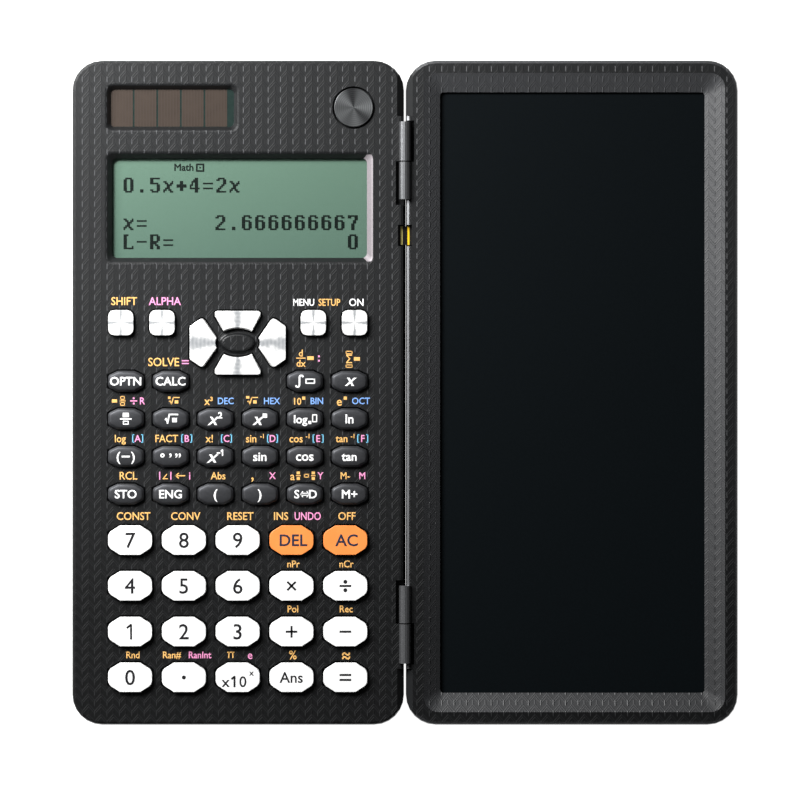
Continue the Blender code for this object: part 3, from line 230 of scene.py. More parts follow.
def new_knit(name, painted_ground_colours, specular):
    """The knit, with painted light: pale zigzags at the key end, and dark ones with pale stems at
    the display end, on a ground painted lighter towards the display end.
    """
    knit = new_material(name, "#151617", 0.52, **{"Specular IOR Level": specular})
    place = object_place(knit)
    axes = add_node(knit, "SeparateXYZ", {0: place})
    aside = work_out(knit, "PINGPONG", axes.outputs["X"], KNIT_WIDTH / 2)
    along = work_out(knit, "MULTIPLY_ADD", aside, -KNIT_SLOPE, axes.outputs["Y"])
    along = work_out(knit, "SUBTRACT", along, KNIT_PHASE)
    zigzags = []
    for offset in (0.0, SECOND_RIB):
        near = work_out(knit, "ADD", along, offset)
        near = work_out(knit, "PINGPONG", near, KNIT_HEIGHT / 2)
        fall = -RIB_RISE / RIB_HALF_WIDTH
        zigzags.append(work_out(knit, "MULTIPLY_ADD", near, fall, RIB_RISE, clamp=True))
    zigzag = work_out(knit, "MAXIMUM", *zigzags)
    share = work_out(knit, "FRACT", work_out(knit, "DIVIDE", along, KNIT_HEIGHT))
    hangs = work_out(knit, "GREATER_THAN", share, HANGS_PAST)
    stands = work_out(knit, "LESS_THAN", share, STANDS_BELOW)
    stem = work_out(knit, "MULTIPLY_ADD", aside, -1 / STEM_HALF_WIDTH, 1.0, clamp=True)
    stem = work_out(knit, "MULTIPLY", stem, hangs)
    rise = SHORT_STEM_RISE / STEM_HALF_WIDTH
    start = SHORT_STEM_RISE - rise * KNIT_WIDTH / 2
    short_stem = work_out(knit, "MULTIPLY_ADD", aside, rise, start, clamp=True)
    short_stem = work_out(knit, "MULTIPLY", short_stem, stands)
    ribs = work_out(knit, "MAXIMUM", zigzag, work_out(knit, "MAXIMUM", stem, short_stem))
    grain = noise(knit, place, 3200.0)
    emboss(knit, work_out(knit, "MULTIPLY_ADD", grain, GRAIN_SHARE, ribs), 0.11 * MM, 1.0)
    # Painted light and shade along the case: each tint is graded from the key end to the display
    # end.
    painted_light_share = remap(knit, axes.outputs["Y"], KEY_END, DISPLAY_END)
    ground_painted_light = mix(knit, painted_light_share, *painted_ground_colours)
    zigzag_painted_highlight = mix(knit, painted_light_share, "#343537", "#1E1F20")
    stem_painted_highlight = mix(knit, painted_light_share, "#242526", "#4A4B4D")
    tint = mix(knit, stem, mix(knit, zigzag, ground_painted_light, zigzag_painted_highlight), stem_painted_highlight)
    feed(knit, tint, "Base Color")
    return knit


# The ground is painted darker at the key end and lighter at the display end, as painted shade and
# light.
knit_abs = new_knit("moulded_abs_knit", ("#090A0B", "#1A1B1C"), 0.22)
# The same knit on the slopes round the writing panel, its ground painted brighter between its dark
# grooves as painted light.
bright_painted_slope_knit = new_knit("moulded_abs_slope_knit", ("#242527", "#37383A"), 0.5)

# The same ABS where the tool was finished fine: smoother, with a slight sheen.
satin_abs = new_material("satin_abs", "#18191A", 0.4)
emboss(satin_abs, noise(satin_abs, object_place(satin_abs), 2600.0, 3.0), 0.02 * MM, 0.6)

# Lacquer over ABS, full of fine metal flake, on the hinge barrels; the same lacquer laid on a strip
# of the tablet's edge at the seam is a painted highlight.
gunmetal_and_glint = new_material("gunmetal_lacquer", "#6E6F71", 0.36, Metallic=0.75)
mottle(gunmetal_and_glint, "#5F6062", "#7D7E80", 2600.0, 3.0)
# A pale lacquer on the display recess's wall that faces the lamps, as a painted highlight.
painted_wall_highlight = new_material("painted_wall_highlight", "#857F83", 0.5, Metallic=0.2)
mottle(painted_wall_highlight, "#756F73", "#958E92", 3200.0)

OPENING_BREAK = 0.05 * MM
RECESS_BREAK = 0.45 * MM
BOSS_BREAK = 0.35 * MM
BOSS_RISE = 0.9 * MM
LEVEL_ERROR = 0.01 * MM
LEAF_THICKNESS = 8.0 * MM
FACE_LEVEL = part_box("rear_case")[0].z + LEAF_THICKNESS
FACE_DEPTH = 2.2 * MM
BASE_DEPTH = 0.3 * MM
SEAM_REACH = 3.0 * MM
KNUCKLE_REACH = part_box("front_case")[1].x + 0.1 * MM
KNUCKLE_RADIUS = 1.45 * MM
BARREL_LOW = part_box("front_case")[1].z - KNUCKLE_RADIUS - 1.3 * MM
HINGE_INNER = 48.0 * MM
HINGE_OUTER = 68.0 * MM
GLINT_NEAR = 0.3 * MM
GLINT_FAR = 1.0 * MM
WALL_REACH = 1.5 * MM
window_low, window_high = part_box("display_window")
RECESS_LOW = window_low.y - 0.5 * MM
RECESS_HIGH = window_high.y + 0.5 * MM
FINISHES = (knit_abs, satin_abs, gunmetal_and_glint, bright_painted_slope_knit, painted_wall_highlight)


def rim_angle(edge, level):
    """How sharply the faces meet, in degrees, at an edge lying at the level, and otherwise 0."""
    lies = all(abs(v.co.z - level) < LEVEL_ERROR for v in edge.verts)
    return math.degrees(edge.calc_face_angle(0)) if lies and len(edge.link_faces) == 2 else 0


def is_face_sheet(face):
    return face.normal.z > 0.999 and abs(face.calc_center_median().z - FACE_LEVEL) < LEVEL_ERROR


def finish_at(node, spot, normal):
    """The finish of a node's face, by its middle and its normal."""
    barrel = abs(spot.x) < KNUCKLE_REACH and spot.z > BARREL_LOW
    barrel = barrel and HINGE_INNER < abs(spot.y) < HINGE_OUTER
    # A strip of the tablet's edge at the seam takes the gunmetal as a painted highlight.
    glint = node == "tablet_frame" and GLINT_NEAR < spot.x < GLINT_FAR and normal.z > 0.8
    # The slopes round the writing panel take the knit painted brighter, as painted light.
    slope = node == "tablet_frame" and 0.8 < normal.z < 0.99 and spot.x > SEAM_REACH
    # The display recess's wall facing the lamps takes the pale finish, a painted highlight.
    wall = node == "front_case" and abs(spot.x - window_high.x) < WALL_REACH and normal.x < -0.25
    if barrel or glint:
        return gunmetal_and_glint
    if slope:
        return bright_painted_slope_knit
    if wall and RECESS_LOW < spot.y < RECESS_HIGH:
        return painted_wall_highlight
    faces_up = normal.z > 0.85 and spot.z > FACE_LEVEL - FACE_DEPTH
    base = normal.z < -0.999 and spot.z < BASE_DEPTH
    return knit_abs if faces_up or base else satin_abs


for node, name, body, slot in (
    ("front_case", "front_moulding", "calculator", "calculator_shell"),
    ("rear_case", "rear_moulding", "calculator", "calculator_shell"),
    ("battery_door", "battery_cover", "calculator", "calculator_shell"),
    ("tablet_frame", "tablet_moulding", "tablet", "tablet_shell"),
    ("tablet_back", "tablet_back_moulding", "tablet", "tablet_shell"),
):
    shell = from_node(node, name)
    open_for_edit(shell, "FACE", is_face_sheet)
    bpy.ops.mesh.quads_convert_to_tris(ngon_method="BEAUTY")
    bpy.ops.mesh.beautify_fill(angle_limit=math.pi)
    close_edit()
    for level, least, most, offset, segments in (
        (FACE_LEVEL, 75, 180, OPENING_BREAK, 2),
        (FACE_LEVEL, 40, 75, RECESS_BREAK, 3),
        (FACE_LEVEL + BOSS_RISE, 30, 180, BOSS_BREAK, 3),
    ):
        bevel(
            shell,
            lambda edge: least < rim_angle(edge, level) <= most
            and abs(edge.verts[0].co.x + edge.verts[1].co.x) > 2 * SEAM_REACH,
            offset,
            segments,
            loop_slide=False,
        )
    for material in FINISHES:
        shell.data.materials.append(material)
    for face in shell.data.polygons:
        face.material_index = FINISHES.index(finish_at(node, face.center, face.normal))
    smooth(shell)
    fit(shell, body, slot, node)


# ------------ seam lip
# A black lip of the same ABS under the seam, from hinge to hinge. It is moulded with the rear case
# and fills the space below the tablet's rounded edge, which swings away from it as the lid folds.

LIP_SIZE = Vector((0.85 * MM, 134 * MM, 0.45 * MM))
LIP_REACH = 0.43 * MM
LIP_LEVEL = 0.35 * MM
LIP_BREAK = 0.08 * MM
bpy.ops.mesh.primitive_cube_add(size=1.0)
seam_lip = bpy.context.object
seam_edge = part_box("rear_case")[1].x
lip_middle = Vector((seam_edge + LIP_REACH - LIP_SIZE.x / 2, 0.0, LIP_LEVEL))
seam_lip.data.transform(Matrix.Translation(lip_middle) @ Matrix.Diagonal((*LIP_SIZE, 1.0)))
bevel(
    seam_lip, lambda edge: edge.verts[0].co.x + edge.verts[1].co.x > 0.3 * MM, LIP_BREAK, 2
)
seam_lip.data.materials.append(satin_abs)
seam_lip.name = "seam_lip"
smooth(seam_lip)
fit(seam_lip, "calculator", "calculator_shell")


# ------------ display
# A green reflective liquid crystal panel under a clear acrylic window, in a sloped recess. The
# figures are runs of dark square dots, and a rubber connector below joins it to the board.


def dress(node, material):
    """Gives a CAD node that is shown as it is its finished material."""
    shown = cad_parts[node].data
    shown.materials.clear()
    shown.materials.append(material)


panel_low, panel_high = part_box("display_panel")
# Liquid crystal glass on a matt reflector: a soft grey green, painted lighter towards the status
# row as painted light.
lcd_glass = new_material("lcd_green_glass", "#6E8F7C", 0.35, **{"Specular IOR Level": 0.3})
place = object_place(lcd_glass)
axes = add_node(lcd_glass, "SeparateXYZ", {0: place})
rise = remap(lcd_glass, axes.outputs["Y"], panel_low.y, panel_high.y)
green = mix(lcd_glass, rise, "#5C776A", "#658171")
fleck = mix(lcd_glass, noise(lcd_glass, place, 4000.0), "#E6EAE6", "#FFFFFF")
feed(lcd_glass, mix(lcd_glass, 1.0, green, fleck, "MULTIPLY"), "Base Color")
dress("display_panel", lcd_glass)

# Cast acrylic with a hard coat: all but invisible, with a faint sharp shine.
clear_acrylic = new_material("clear_acrylic", "#1E2A26", 0.06, Alpha=0.07, IOR=1.49)
haze = noise(clear_acrylic, object_place(clear_acrylic), 900.0)
feed(clear_acrylic, remap(clear_acrylic, haze, 0.0, 1.0, 0.04, 0.09), "Roughness")
dress("display_window", clear_acrylic)

# Carbon-filled silicone strips, matt and dark.
carbon_rubber = new_material("carbon_silicone", "#303134", 0.85)
strands = add_node(
    carbon_rubber,
    "TexWave",
    {"Vector": object_place(carbon_rubber), "Scale": 800.0, "Distortion": 0.5},
    bands_direction="X",
)
feed(carbon_rubber, mix(carbon_rubber, strands.outputs["Fac"], "#26272A", "#4A4B4E"), "Base Color")
dress("display_connector", carbon_rubber)

DOT_PITCH = 0.415 * MM
DOT_SIZE = 0.4 * MM
DOT_THICKNESS = 0.03 * MM
GLYPHS = {
    "0": " #### |##  ##|##  ##|##  ##|##  ##|##  ##|##  ##|##  ##| #### ",
    "2": " #### |##  ##|    ##|    ##|   ## |  ##  | ##   |##    |######",
    "4": "   ## |  ### | #### | # ## |## ## |#  ## |######|   ## |   ## ",
    "5": "######|##    |##    |##### |    ##|    ##|    ##|##  ##| #### ",
    "6": " #### |##  ##|##    |##### |##  ##|##  ##|##  ##|##  ##| #### ",
    "7": "######|##  ##|    ##|   ## |   ## |  ##  |  ##  |  ##  |  ##  ",
    ".": "      |      |      |      |      |      |      |  ##  |  ##  ",
    "+": "      |      |  ##  |  ##  |######|######|  ##  |  ##  |      ",
    "-": "      |      |      |      |######|      |      |      |      ",
    "=": "      |      |      |######|      |      |######|      |      ",
    "x": "      |      |##   #| ## ##|  ### |  ##  | ###  |## ## |#   ##",
    "L": "###   |##    |##    |##    |##    |##    |##    |##   #|######",
    "R": "##### |##  ##|##  ##|##  ##|##### |####  |## ## |##  ##|##  ##",
}
GLYPH_STEP = 8


def repeat(piece, name, shift):
    """A copy with a mesh of its own, moved in its mesh."""
    twin = piece.copy()
    twin.name = name
    twin.data = piece.data.copy()
    twin.data.name = name
    twin.data.transform(Matrix.Translation(shift))
    bpy.context.scene.collection.objects.link(twin)
    return twin


def join(pieces, name):
    only(pieces[0])
    for piece in pieces:
        piece.select_set(True)
    bpy.ops.object.join()
    pieces[0].name = name
    pieces[0].data.name = name
    return pieces[0]


# Twisted liquid crystal seen dark: a blue black that sits on the green.
lcd_dark = new_material("lcd_dark_dots", "#080F0D", 0.4, **{"Specular IOR Level": 0.2})
mottle(lcd_dark, "#050A08", "#0C1613", 5000.0)

PRINT_LEVEL = panel_high.z + 0.02 * MM
bpy.ops.mesh.primitive_cube_add(size=1.0)
dot = bpy.context.object
dot.data.transform(Matrix.Diagonal((DOT_SIZE, DOT_SIZE, DOT_THICKNESS, 1.0)))
dot.data.materials.append(lcd_dark)
dot_mesh = dot.data
figures = bmesh.new()


def set_dot(x, y, column, row):
    """Sets the dot of a column and a row, counted from the first dot at (x, y)."""
    before = len(figures.verts)
    figures.from_mesh(dot_mesh)
    figures.verts.ensure_lookup_table()
    spot = (x + column * DOT_PITCH, y + row * DOT_PITCH, PRINT_LEVEL + DOT_THICKNESS / 2)
    bmesh.ops.translate(figures, verts=figures.verts[before:], vec=spot)


FIGURE_LEFT = panel_low.x + 3.9 * MM
FIGURE_RIGHT = panel_high.x - 3.0 * MM
for text, rise, from_right in (
    ("0.5x+4=2x", 17.5, False),
    ("x=", 8.1, False),
    ("2.666666667", 8.1, True),
    ("L-R=", 3.3, False),
    ("0", 3.3, True),
):
    width = (len(text) * GLYPH_STEP - 2) * DOT_PITCH
    left = FIGURE_RIGHT - width if from_right else FIGURE_LEFT
    for i, character in enumerate(text):
        for row, line in enumerate(reversed(GLYPHS[character].split("|"))):
            for column, mark in enumerate(line):
                if mark == "#":
                    start = left + i * GLYPH_STEP * DOT_PITCH
                    set_dot(start, panel_low.y + rise * MM, column, row)
# The status row has a plain boxed sign for the angle unit.
SIGN_LEFT = panel_low.x + 22.05 * MM
SIGN_LOW = panel_high.y - 4.0 * MM
for column in range(5):
    for row in range(5):
        if column in (0, 4) or row in (0, 4) or column == row == 2:
            set_dot(SIGN_LEFT, SIGN_LOW, column, row)
figures.to_mesh(dot_mesh)
figures.free()
dot.name = "display_figures"
fit(dot, "calculator", "display_panel")


# ------------ solar cell
# Five amorphous silicon cells behind glass, joined in series, with bare glass left at one end. The
# glass is glued under a second recess beside the erase button.

solar_low, solar_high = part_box("solar_cell")
MOUTH_INSET = 0.9 * MM
# Soda-lime glass over a dark green backing: near black with a clean shine.
solar_glass = new_material("solar_backing_glass", "#1C2725", 0.12, IOR=1.52)
mottle(solar_glass, "#182321", "#25322F", 700.0, 3.0)
dress("solar_cell", solar_glass)

# Amorphous silicon seen through glass: a purple brown with fine upright scribe lines.
COAT = {"Coat Weight": 0.4, "Coat Roughness": 0.1}
amorphous_silicon = new_material("amorphous_silicon", "#47403D", 0.22, **COAT)
place = object_place(amorphous_silicon)
scribed = add_node(
    amorphous_silicon,
    "TexWave",
    {"Vector": place, "Scale": 420.0, "Distortion": 0.4, "Detail": 1.0},
    bands_direction="X",
)
cloud = noise(amorphous_silicon, place, 260.0, 3.0)
tint = mix(amorphous_silicon, cloud, "#2F2824", "#423932")
tint = mix(amorphous_silicon, scribed.outputs["Fac"], tint, "#3D3530")
feed(amorphous_silicon, tint, "Base Color")

CELLS = 5
CELL_GAP = 0.42 * MM
CELL_INSET = MOUTH_INSET + 0.1 * MM
CELL_THICKNESS = 0.04 * MM
CELL_ROUND = 0.15 * MM
END_STRIP = 1.3 * MM
cell_left = solar_low.x + CELL_INSET
cell_width = (solar_high.x - MOUTH_INSET - END_STRIP - cell_left - CELLS * CELL_GAP) / CELLS
cell_size = Vector((cell_width, solar_high.y - solar_low.y - 2 * CELL_INSET, CELL_THICKNESS))
middle_y = (solar_low.y + solar_high.y) / 2
middle = Vector((cell_left + cell_width / 2, middle_y, solar_high.z + CELL_THICKNESS / 2))
bpy.ops.mesh.primitive_cube_add(size=1.0)
cell = bpy.context.object
cell.data.transform(Matrix.Translation(middle) @ Matrix.Diagonal((*cell_size, 1.0)))
bevel(
    cell, lambda edge: abs(edge.verts[0].co.z - edge.verts[1].co.z) > LEVEL_ERROR, CELL_ROUND, 3
)
cell.data.materials.append(amorphous_silicon)
cells = [cell]
for i in range(1, CELLS):
    cells.append(repeat(cell, "solar_cells", ((cell_width + CELL_GAP) * i, 0, 0)))
fit(join(cells, "solar_cells"), "calculator", "solar_cell")


# ------------ erase button
# A turned aluminium cap, spun with a fine lathe finish and anodised grey, on a black plastic lip
# that keeps it under the case. It clears the writing tablet.

erase_low, erase_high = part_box("erase_button")
erase_middle = (erase_low + erase_high) / 2
ERASE_LIP = 1.25 * MM
ERASE_EDGE = 0.15 * MM
erase_radius = (erase_high.x - erase_low.x) / 2 - ERASE_LIP
lip_top = erase_low.z + 1.25 * MM


def lathe_marks(material, place, middle, scale, distortion):
    """Rings turned about a middle, with the places measured from it and the angle round it."""
    inputs = {"Vector": place, "Location": (-middle[0], -middle[1], 0.0)}
    centred = add_node(material, "Mapping", inputs).outputs[0]
    rings = add_node(
        material,
        "TexWave",
        {"Vector": centred, "Scale": scale, "Distortion": distortion, "Detail": 2.0},
        wave_type="RINGS",
        rings_direction="Z",
    )
    axes = add_node(material, "SeparateXYZ", {0: centred})
    angle = work_out(material, "ARCTAN2", axes.outputs["Y"], axes.outputs["X"])
    return rings.outputs["Fac"], centred, angle


# Anodised aluminium with rings left by the lathe tool. Dark and bright wedges, such as turned rings
# throw the light into, are painted into its colour by the angle round the middle as painted
# reflection. The rings are drawn about 0.25 mm apart, coarser than the real ones, so that they
# show.
spun_grey = new_material("anodised_spun_aluminium", "#77787A", 0.42, Metallic=0.6)
place = object_place(spun_grey)
rings, _, angle = lathe_marks(spun_grey, place, erase_middle, 640.0, 0.3)
painted_sectors = []
for repeats, phase in ((2.0, 1.2), (3.0, 0.4), (5.0, 2.0)):
    wave = work_out(spun_grey, "MULTIPLY_ADD", angle, repeats, phase)
    painted_sectors.append(work_out(spun_grey, "SINE", wave))
painted_fan = work_out(spun_grey, "ADD", work_out(spun_grey, "ADD", *painted_sectors[:2]), painted_sectors[2])
tint = mix(spun_grey, remap(spun_grey, painted_fan, -2.4, 2.4), "#1C1D1E", "#686A6B")
trace = remap(spun_grey, rings, 0.0, 1.0, 0.0, 0.35)
feed(spun_grey, mix(spun_grey, trace, tint, "#3B3C3E"), "Base Color")
emboss(spun_grey, rings, 0.015 * MM, 0.8)


def turned(name, profile, middle, steps=72):
    """A closed solid spun about the upright line through middle from (radius, height) points."""
    shape = bmesh.new()
    points = [shape.verts.new((radius, 0.0, height)) for radius, height in profile]
    edges = [shape.edges.new(pair) for pair in zip(points, points[1:])]
    bmesh.ops.spin(
        shape,
        geom=points + edges,
        cent=(0, 0, 0),
        axis=(0, 0, 1),
        angle=math.tau,
        steps=steps,
        use_duplicate=False,
        use_merge=True,
    )
    bmesh.ops.remove_doubles(shape, verts=shape.verts, dist=0.001 * MM)
    bmesh.ops.recalc_face_normals(shape, faces=shape.faces)
    bmesh.ops.translate(shape, verts=shape.verts, vec=(middle.x, middle.y, 0))
    mesh = bpy.data.meshes.new(name)
    shape.to_mesh(mesh)
    shape.free()
    return new_piece(name, mesh)


button = turned(
    "erase_cap",
    (
        (0.0, erase_low.z),
        (erase_radius + ERASE_LIP, erase_low.z),
        (erase_radius + ERASE_LIP, lip_top),
        (erase_radius, lip_top),
        (erase_radius, erase_high.z - ERASE_EDGE),
        (erase_radius - ERASE_EDGE / 3, erase_high.z - ERASE_EDGE / 3),
        (erase_radius - ERASE_EDGE, erase_high.z),
        (erase_radius * 0.5, erase_high.z - 0.03 * MM),
        (0.0, erase_high.z - 0.04 * MM),
    ),
    erase_middle,
)
button.data.materials.append(spun_grey)
button.data.materials.append(satin_abs)
for face in button.data.polygons:
    face.material_index = int(face.center.z < lip_top + 0.02 * MM)
smooth(button, 35, flat_area=50)
fit(button, "erase_button", "erase_button", "erase_button")


# ------------ number and entry keys
# Eighteen white caps and two orange ones of glossy ABS, with flat tops, faceted ends and printed
# legends. Each rides in its own opening, and its lip below keeps it under the case.

# Injection moulded ABS, polished: pure white with a very slight grey mottle.
white_abs = new_material("white_abs", "#FDFDFC", 0.38)
mottle(white_abs, "#F6F6F5", "#FFFFFF", 350.0, 3.0)

# The same in a warm orange.
orange_abs = new_material("orange_abs", "#FB9248", 0.36)
mottle(orange_abs, "#F48A42", "#FD9A4F", 350.0, 3.0)


def new_ink(name, colour, pale):
    """A matt screen ink, very slightly uneven in the laying."""
    ink = new_material(name, colour, 0.55, **{"Specular IOR Level": 0.3})
    mottle(ink, colour, pale, 2500.0)
    return ink


black_ink = new_ink("black_ink", "#121214", "#1C1C1F")
navy_ink = new_ink("navy_ink", "#1C2236", "#262C42")
INK_THICKNESS = 0.02 * MM
TEXT_CAPITAL = 0.69


def draw(marks, points, width):
    """Adds a drawn line to marks as thin bars, one for each pair of points, in millimetres."""
    for (x0, y0), (x1, y1) in zip(points, points[1:]):
        reach = math.hypot(x1 - x0, y1 - y0) + 0.6 * width
        place = Matrix.Translation(((x0 + x1) / 2 * MM, (y0 + y1) / 2 * MM, 0.0))
        turn = Matrix.Rotation(math.atan2(y1 - y0, x1 - x0), 4, "Z")
        size = Matrix.Diagonal((reach * MM, width * MM, INK_THICKNESS, 1.0))
        bmesh.ops.create_cube(marks, size=1.0, matrix=place @ turn @ size)


def box_of(x, y, width, height):
    """The corners of a drawn box centred on (x, y), closed."""
    w, h = width / 2, height / 2
    return [(x - w, y - h), (x + w, y - h), (x + w, y + h), (x - w, y + h), (x - w, y - h)]


def letter(marks, text, x, y, height, weight=0.0, slant=0.0, squeeze=1.0):
    """Adds lettering centred on (x, y), in millimetres, capitals being height tall."""
    bpy.ops.object.select_all(action="DESELECT")
    bpy.ops.object.text_add()
    made = bpy.context.object
    made.data.body = text
    made.data.size = height / TEXT_CAPITAL * MM
    made.data.extrude = INK_THICKNESS / 2
    made.data.bevel_depth = weight * MM
    made.data.bevel_resolution = 0
    made.data.shear = slant
    made.data.align_x = "CENTER"
    made.data.resolution_u = 3
    bpy.ops.object.convert(target="MESH")
    made = bpy.context.object
    middle = Matrix.Translation((x * MM, (y - height / 2) * MM, 0.0))
    thinned = INK_THICKNESS / (INK_THICKNESS + 2 * weight * MM)
    made.data.transform(middle @ Matrix.Diagonal((squeeze, 1.0, thinned, 1.0)))
    marks.from_mesh(made.data)
    bpy.data.objects.remove(made)


def printed(marks, name, ink, level, middle=(0.0, 0.0)):
    """Makes the marks a piece of ink whose underside is at the level, about the middle."""
    mesh = bpy.data.meshes.new(name)
    bmesh.ops.translate(
        marks, verts=marks.verts, vec=(middle[0], middle[1], level + INK_THICKNESS / 2)
    )
    marks.to_mesh(mesh)
    marks.free()
    mesh.materials.append(ink)
    return new_piece(name, mesh)


key_low, key_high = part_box("key_0")
KEY_TOP = key_high.z
LIP_TOP = key_low.z + 1.25 * MM
KEY_SIDE_ROUND = 0.8 * MM
KEY_EDGE_ROUND = 0.06 * MM
KEY_FLAT = 4.0 * MM


def is_rising(edge):
    """An upright edge of a cap, standing above its lip."""
    bottom, top = sorted(v.co.z for v in edge.verts)
    return top - bottom > 0.1 * MM and bottom > LIP_TOP - 0.05 * MM


def is_cap_corner(edge):
    x = (edge.verts[0].co.x + edge.verts[1].co.x) / 2
    return is_rising(edge) and abs(x - form_middle.x) >= KEY_FLAT


def is_top_rim(edge):
    return all(v.co.z > KEY_TOP - LEVEL_ERROR for v in edge.verts) and (
        edge.calc_face_angle(0) > math.radians(10)
    )


LIP_WIDTH = 0.7 * MM
WIDE_CHAMFER = 0.5 * MM
SMALL_CHAMFER = 0.08 * MM


def draw_out(piece, node):
    """Draws the top of a cap out over its chamfer, until only a small one is left."""
    low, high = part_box(node)
    half = (high - low) / 2 - Vector((LIP_WIDTH, LIP_WIDTH, 0.0))
    open_for_edit(piece, "VERT", lambda vertex: vertex.co.z > KEY_TOP - LEVEL_ERROR)
    bpy.ops.transform.resize(
        value=(
            (half.x - SMALL_CHAMFER) / (half.x - WIDE_CHAMFER),
            (half.y - SMALL_CHAMFER) / (half.y - WIDE_CHAMFER),
            1,
        ),
        center_override=(low + high) / 2,
    )
    close_edit()


def paint_wall_shade(piece):
    """Paints the lip and the walls below the case's face black, as painted shade in the gap round
    the cap.
    """
    piece.data.materials.append(satin_abs)
    for face in piece.data.polygons:
        face.material_index = int(face.center.z < FACE_LEVEL)


cap_form = from_node("key_0", "cap_form")
form_middle = (key_low + key_high) / 2
bevel(cap_form, is_cap_corner, KEY_SIDE_ROUND, 4, loop_slide=False)
draw_out(cap_form, "key_0")
bevel(cap_form, is_top_rim, KEY_EDGE_ROUND, 2)
smooth(cap_form)

# Each legend is words as (text, x, y, height) and lines as lists of points, about the cap's centre
# in millimetres. A lone point is a dot.
CROSS = [[(-0.95, -0.95), (0.95, 0.95)], [(-0.95, 0.95), (0.95, -0.95)]]
BAR = [(-1.3, 0), (1.3, 0)]
entry_keys = {
    "key_point": ([], [[(0, 0)]]),
    "key_exponent": (
        [("x", -3.0, -1.05, 2.6), ("0", 1.3, -1.05, 2.65), ("x", 3.45, 1.2, 1.4)],
        [[(-0.8, -2.3), (-0.8, 0.2), (-1.45, -0.35)]],
    ),
    "key_answer": ([("Ans", 0, 0, 2.6)], []),
    "key_equals": ([], [[(-1.3, 0.62), (1.3, 0.62)], [(-1.3, -0.62), (1.3, -0.62)]]),
    "key_plus": ([], [BAR, [(0, -1.3), (0, 1.3)]]),
    "key_minus": ([], [BAR]),
    "key_multiply": ([], CROSS),
    "key_divide": ([], [BAR, [(0, 1.05)], [(0, -1.05)]]),
    "key_delete": ([("DEL", 0.36, 0, 2.83)], []),
    "key_all_clear": ([("AC", 0.4, 0, 2.83)], []),
}
for digit in "023456789":
    entry_keys["key_" + digit] = ([(digit, 0, 0, 3.75)], [])
entry_keys["key_1"] = ([], [[(0.25, -1.8), (0.25, 1.75), (-0.7, 1.0)]])
SIGN_WIDTH = 0.52
FIGURE_WIDTH = 0.5
DOT_RADIUS = 0.5


def centre_of(node):
    low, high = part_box(node)
    return (low + high) / 2


def put_dot(marks, x, y, radius):
    spot = Matrix.Translation((x * MM, y * MM, 0.0))
    bmesh.ops.create_cone(
        marks,
        cap_ends=True,
        segments=20,
        radius1=radius * MM,
        radius2=radius * MM,
        depth=INK_THICKNESS,
        matrix=spot,
    )


for node, (words, lines) in entry_keys.items():
    orange = node in ("key_delete", "key_all_clear")
    cap = repeat(cap_form, node + "_cap", centre_of(node) - form_middle)
    cap.data.materials.append(orange_abs if orange else white_abs)
    paint_wall_shade(cap)
    marks = bmesh.new()
    for text, x, y, height in words:
        letter(marks, text, x, y, height, weight=0.07 if orange else 0.05)
    for line in lines:
        if len(line) == 1:
            put_dot(marks, *line[0], DOT_RADIUS)
        else:
            draw(marks, line, FIGURE_WIDTH if node in ("key_1", "key_exponent") else SIGN_WIDTH)
    ink = navy_ink if orange else black_ink
    legend = printed(marks, node + "_legend", ink, KEY_TOP, centre_of(node))
    cap = join([cap, legend], cap.name)
    fit(cap, node, "orange_keys" if orange else "number_keys", node)
bpy.data.objects.remove(cap_form)


# ------------ function keys
# Twenty two black caps, tied under the case in strips of two or three by a thin web. Each cap has a
# domed top with a bright rolled edge, and a bold white legend printed on it.

# Moulded ABS under a black lacquer with fine metal flake, which spreads the light over the dome.
gloss_abs = new_material("lacquered_black_abs", "#48494C", 0.45, Metallic=0.7)
emboss(gloss_abs, mottle(gloss_abs, "#3C3D40", "#4A4B4E", 1500.0, 3.0), 0.012 * MM, 0.5)
white_ink = new_ink("white_ink", "#F4F4F4", "#FFFFFF")

STRIP_END = 5.165 * MM
strip_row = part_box("function_keys_b_left")[0].x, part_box("function_keys_b_right")[1].x
STRIP_PITCH = (strip_row[1] - strip_row[0] - 2 * STRIP_END) / 5
# Each ring of the dome is the one before it drawn in by the first figure and raised by the second,
# in millimetres.
DOME = ((0.93, 0.035), (0.9, 0.035), (0.85, 0.03), (0.75, 0.03), (0.6, 0.02))
FUNCTION_SIDE_ROUND = 0.55 * MM
FUNCTION_EDGE_ROUND = 0.1 * MM
CAP_FLAT = 2.4 * MM
LAID_FROM = KEY_TOP + 0.5 * MM


def root(x, y, width, height, over=0.0):
    """A root sign whose bar starts at x and is width long, with an inner space of the height."""
    return [
        (x - 1.0, y - 0.1 * height),
        (x - 0.75, y + 0.05 * height),
        (x - 0.45, y - height / 2),
        (x, y + height / 2 + over),
        (x + width, y + height / 2 + over),
    ]


def integral(x, y, height):
    """A tall curved stroke, hooked both ways."""
    r = 0.16 * height
    top = [
        (x + r + r * math.cos(a), y + height / 2 - r + r * math.sin(a))
        for a in [math.radians(d) for d in (20, 60, 100, 140, 180)]
    ]
    foot = [
        (x - r - r * math.cos(a), y - height / 2 + r - r * math.sin(a))
        for a in [math.radians(d) for d in (180, 140, 100, 60, 20)]
    ]
    return top + foot


# Words as (text, x, y, height) with a slant where there is one, lines as (points, width) and
# filled blocks as (x, y, width, height), about each cap's centre in millimetres.
BOLD = 0.07
ITALIC = 0.3


def word(text, height=2.05, y=0.0, *slant):
    """A legend of one word."""
    return [(text, 0, y, height, *slant)], [], []


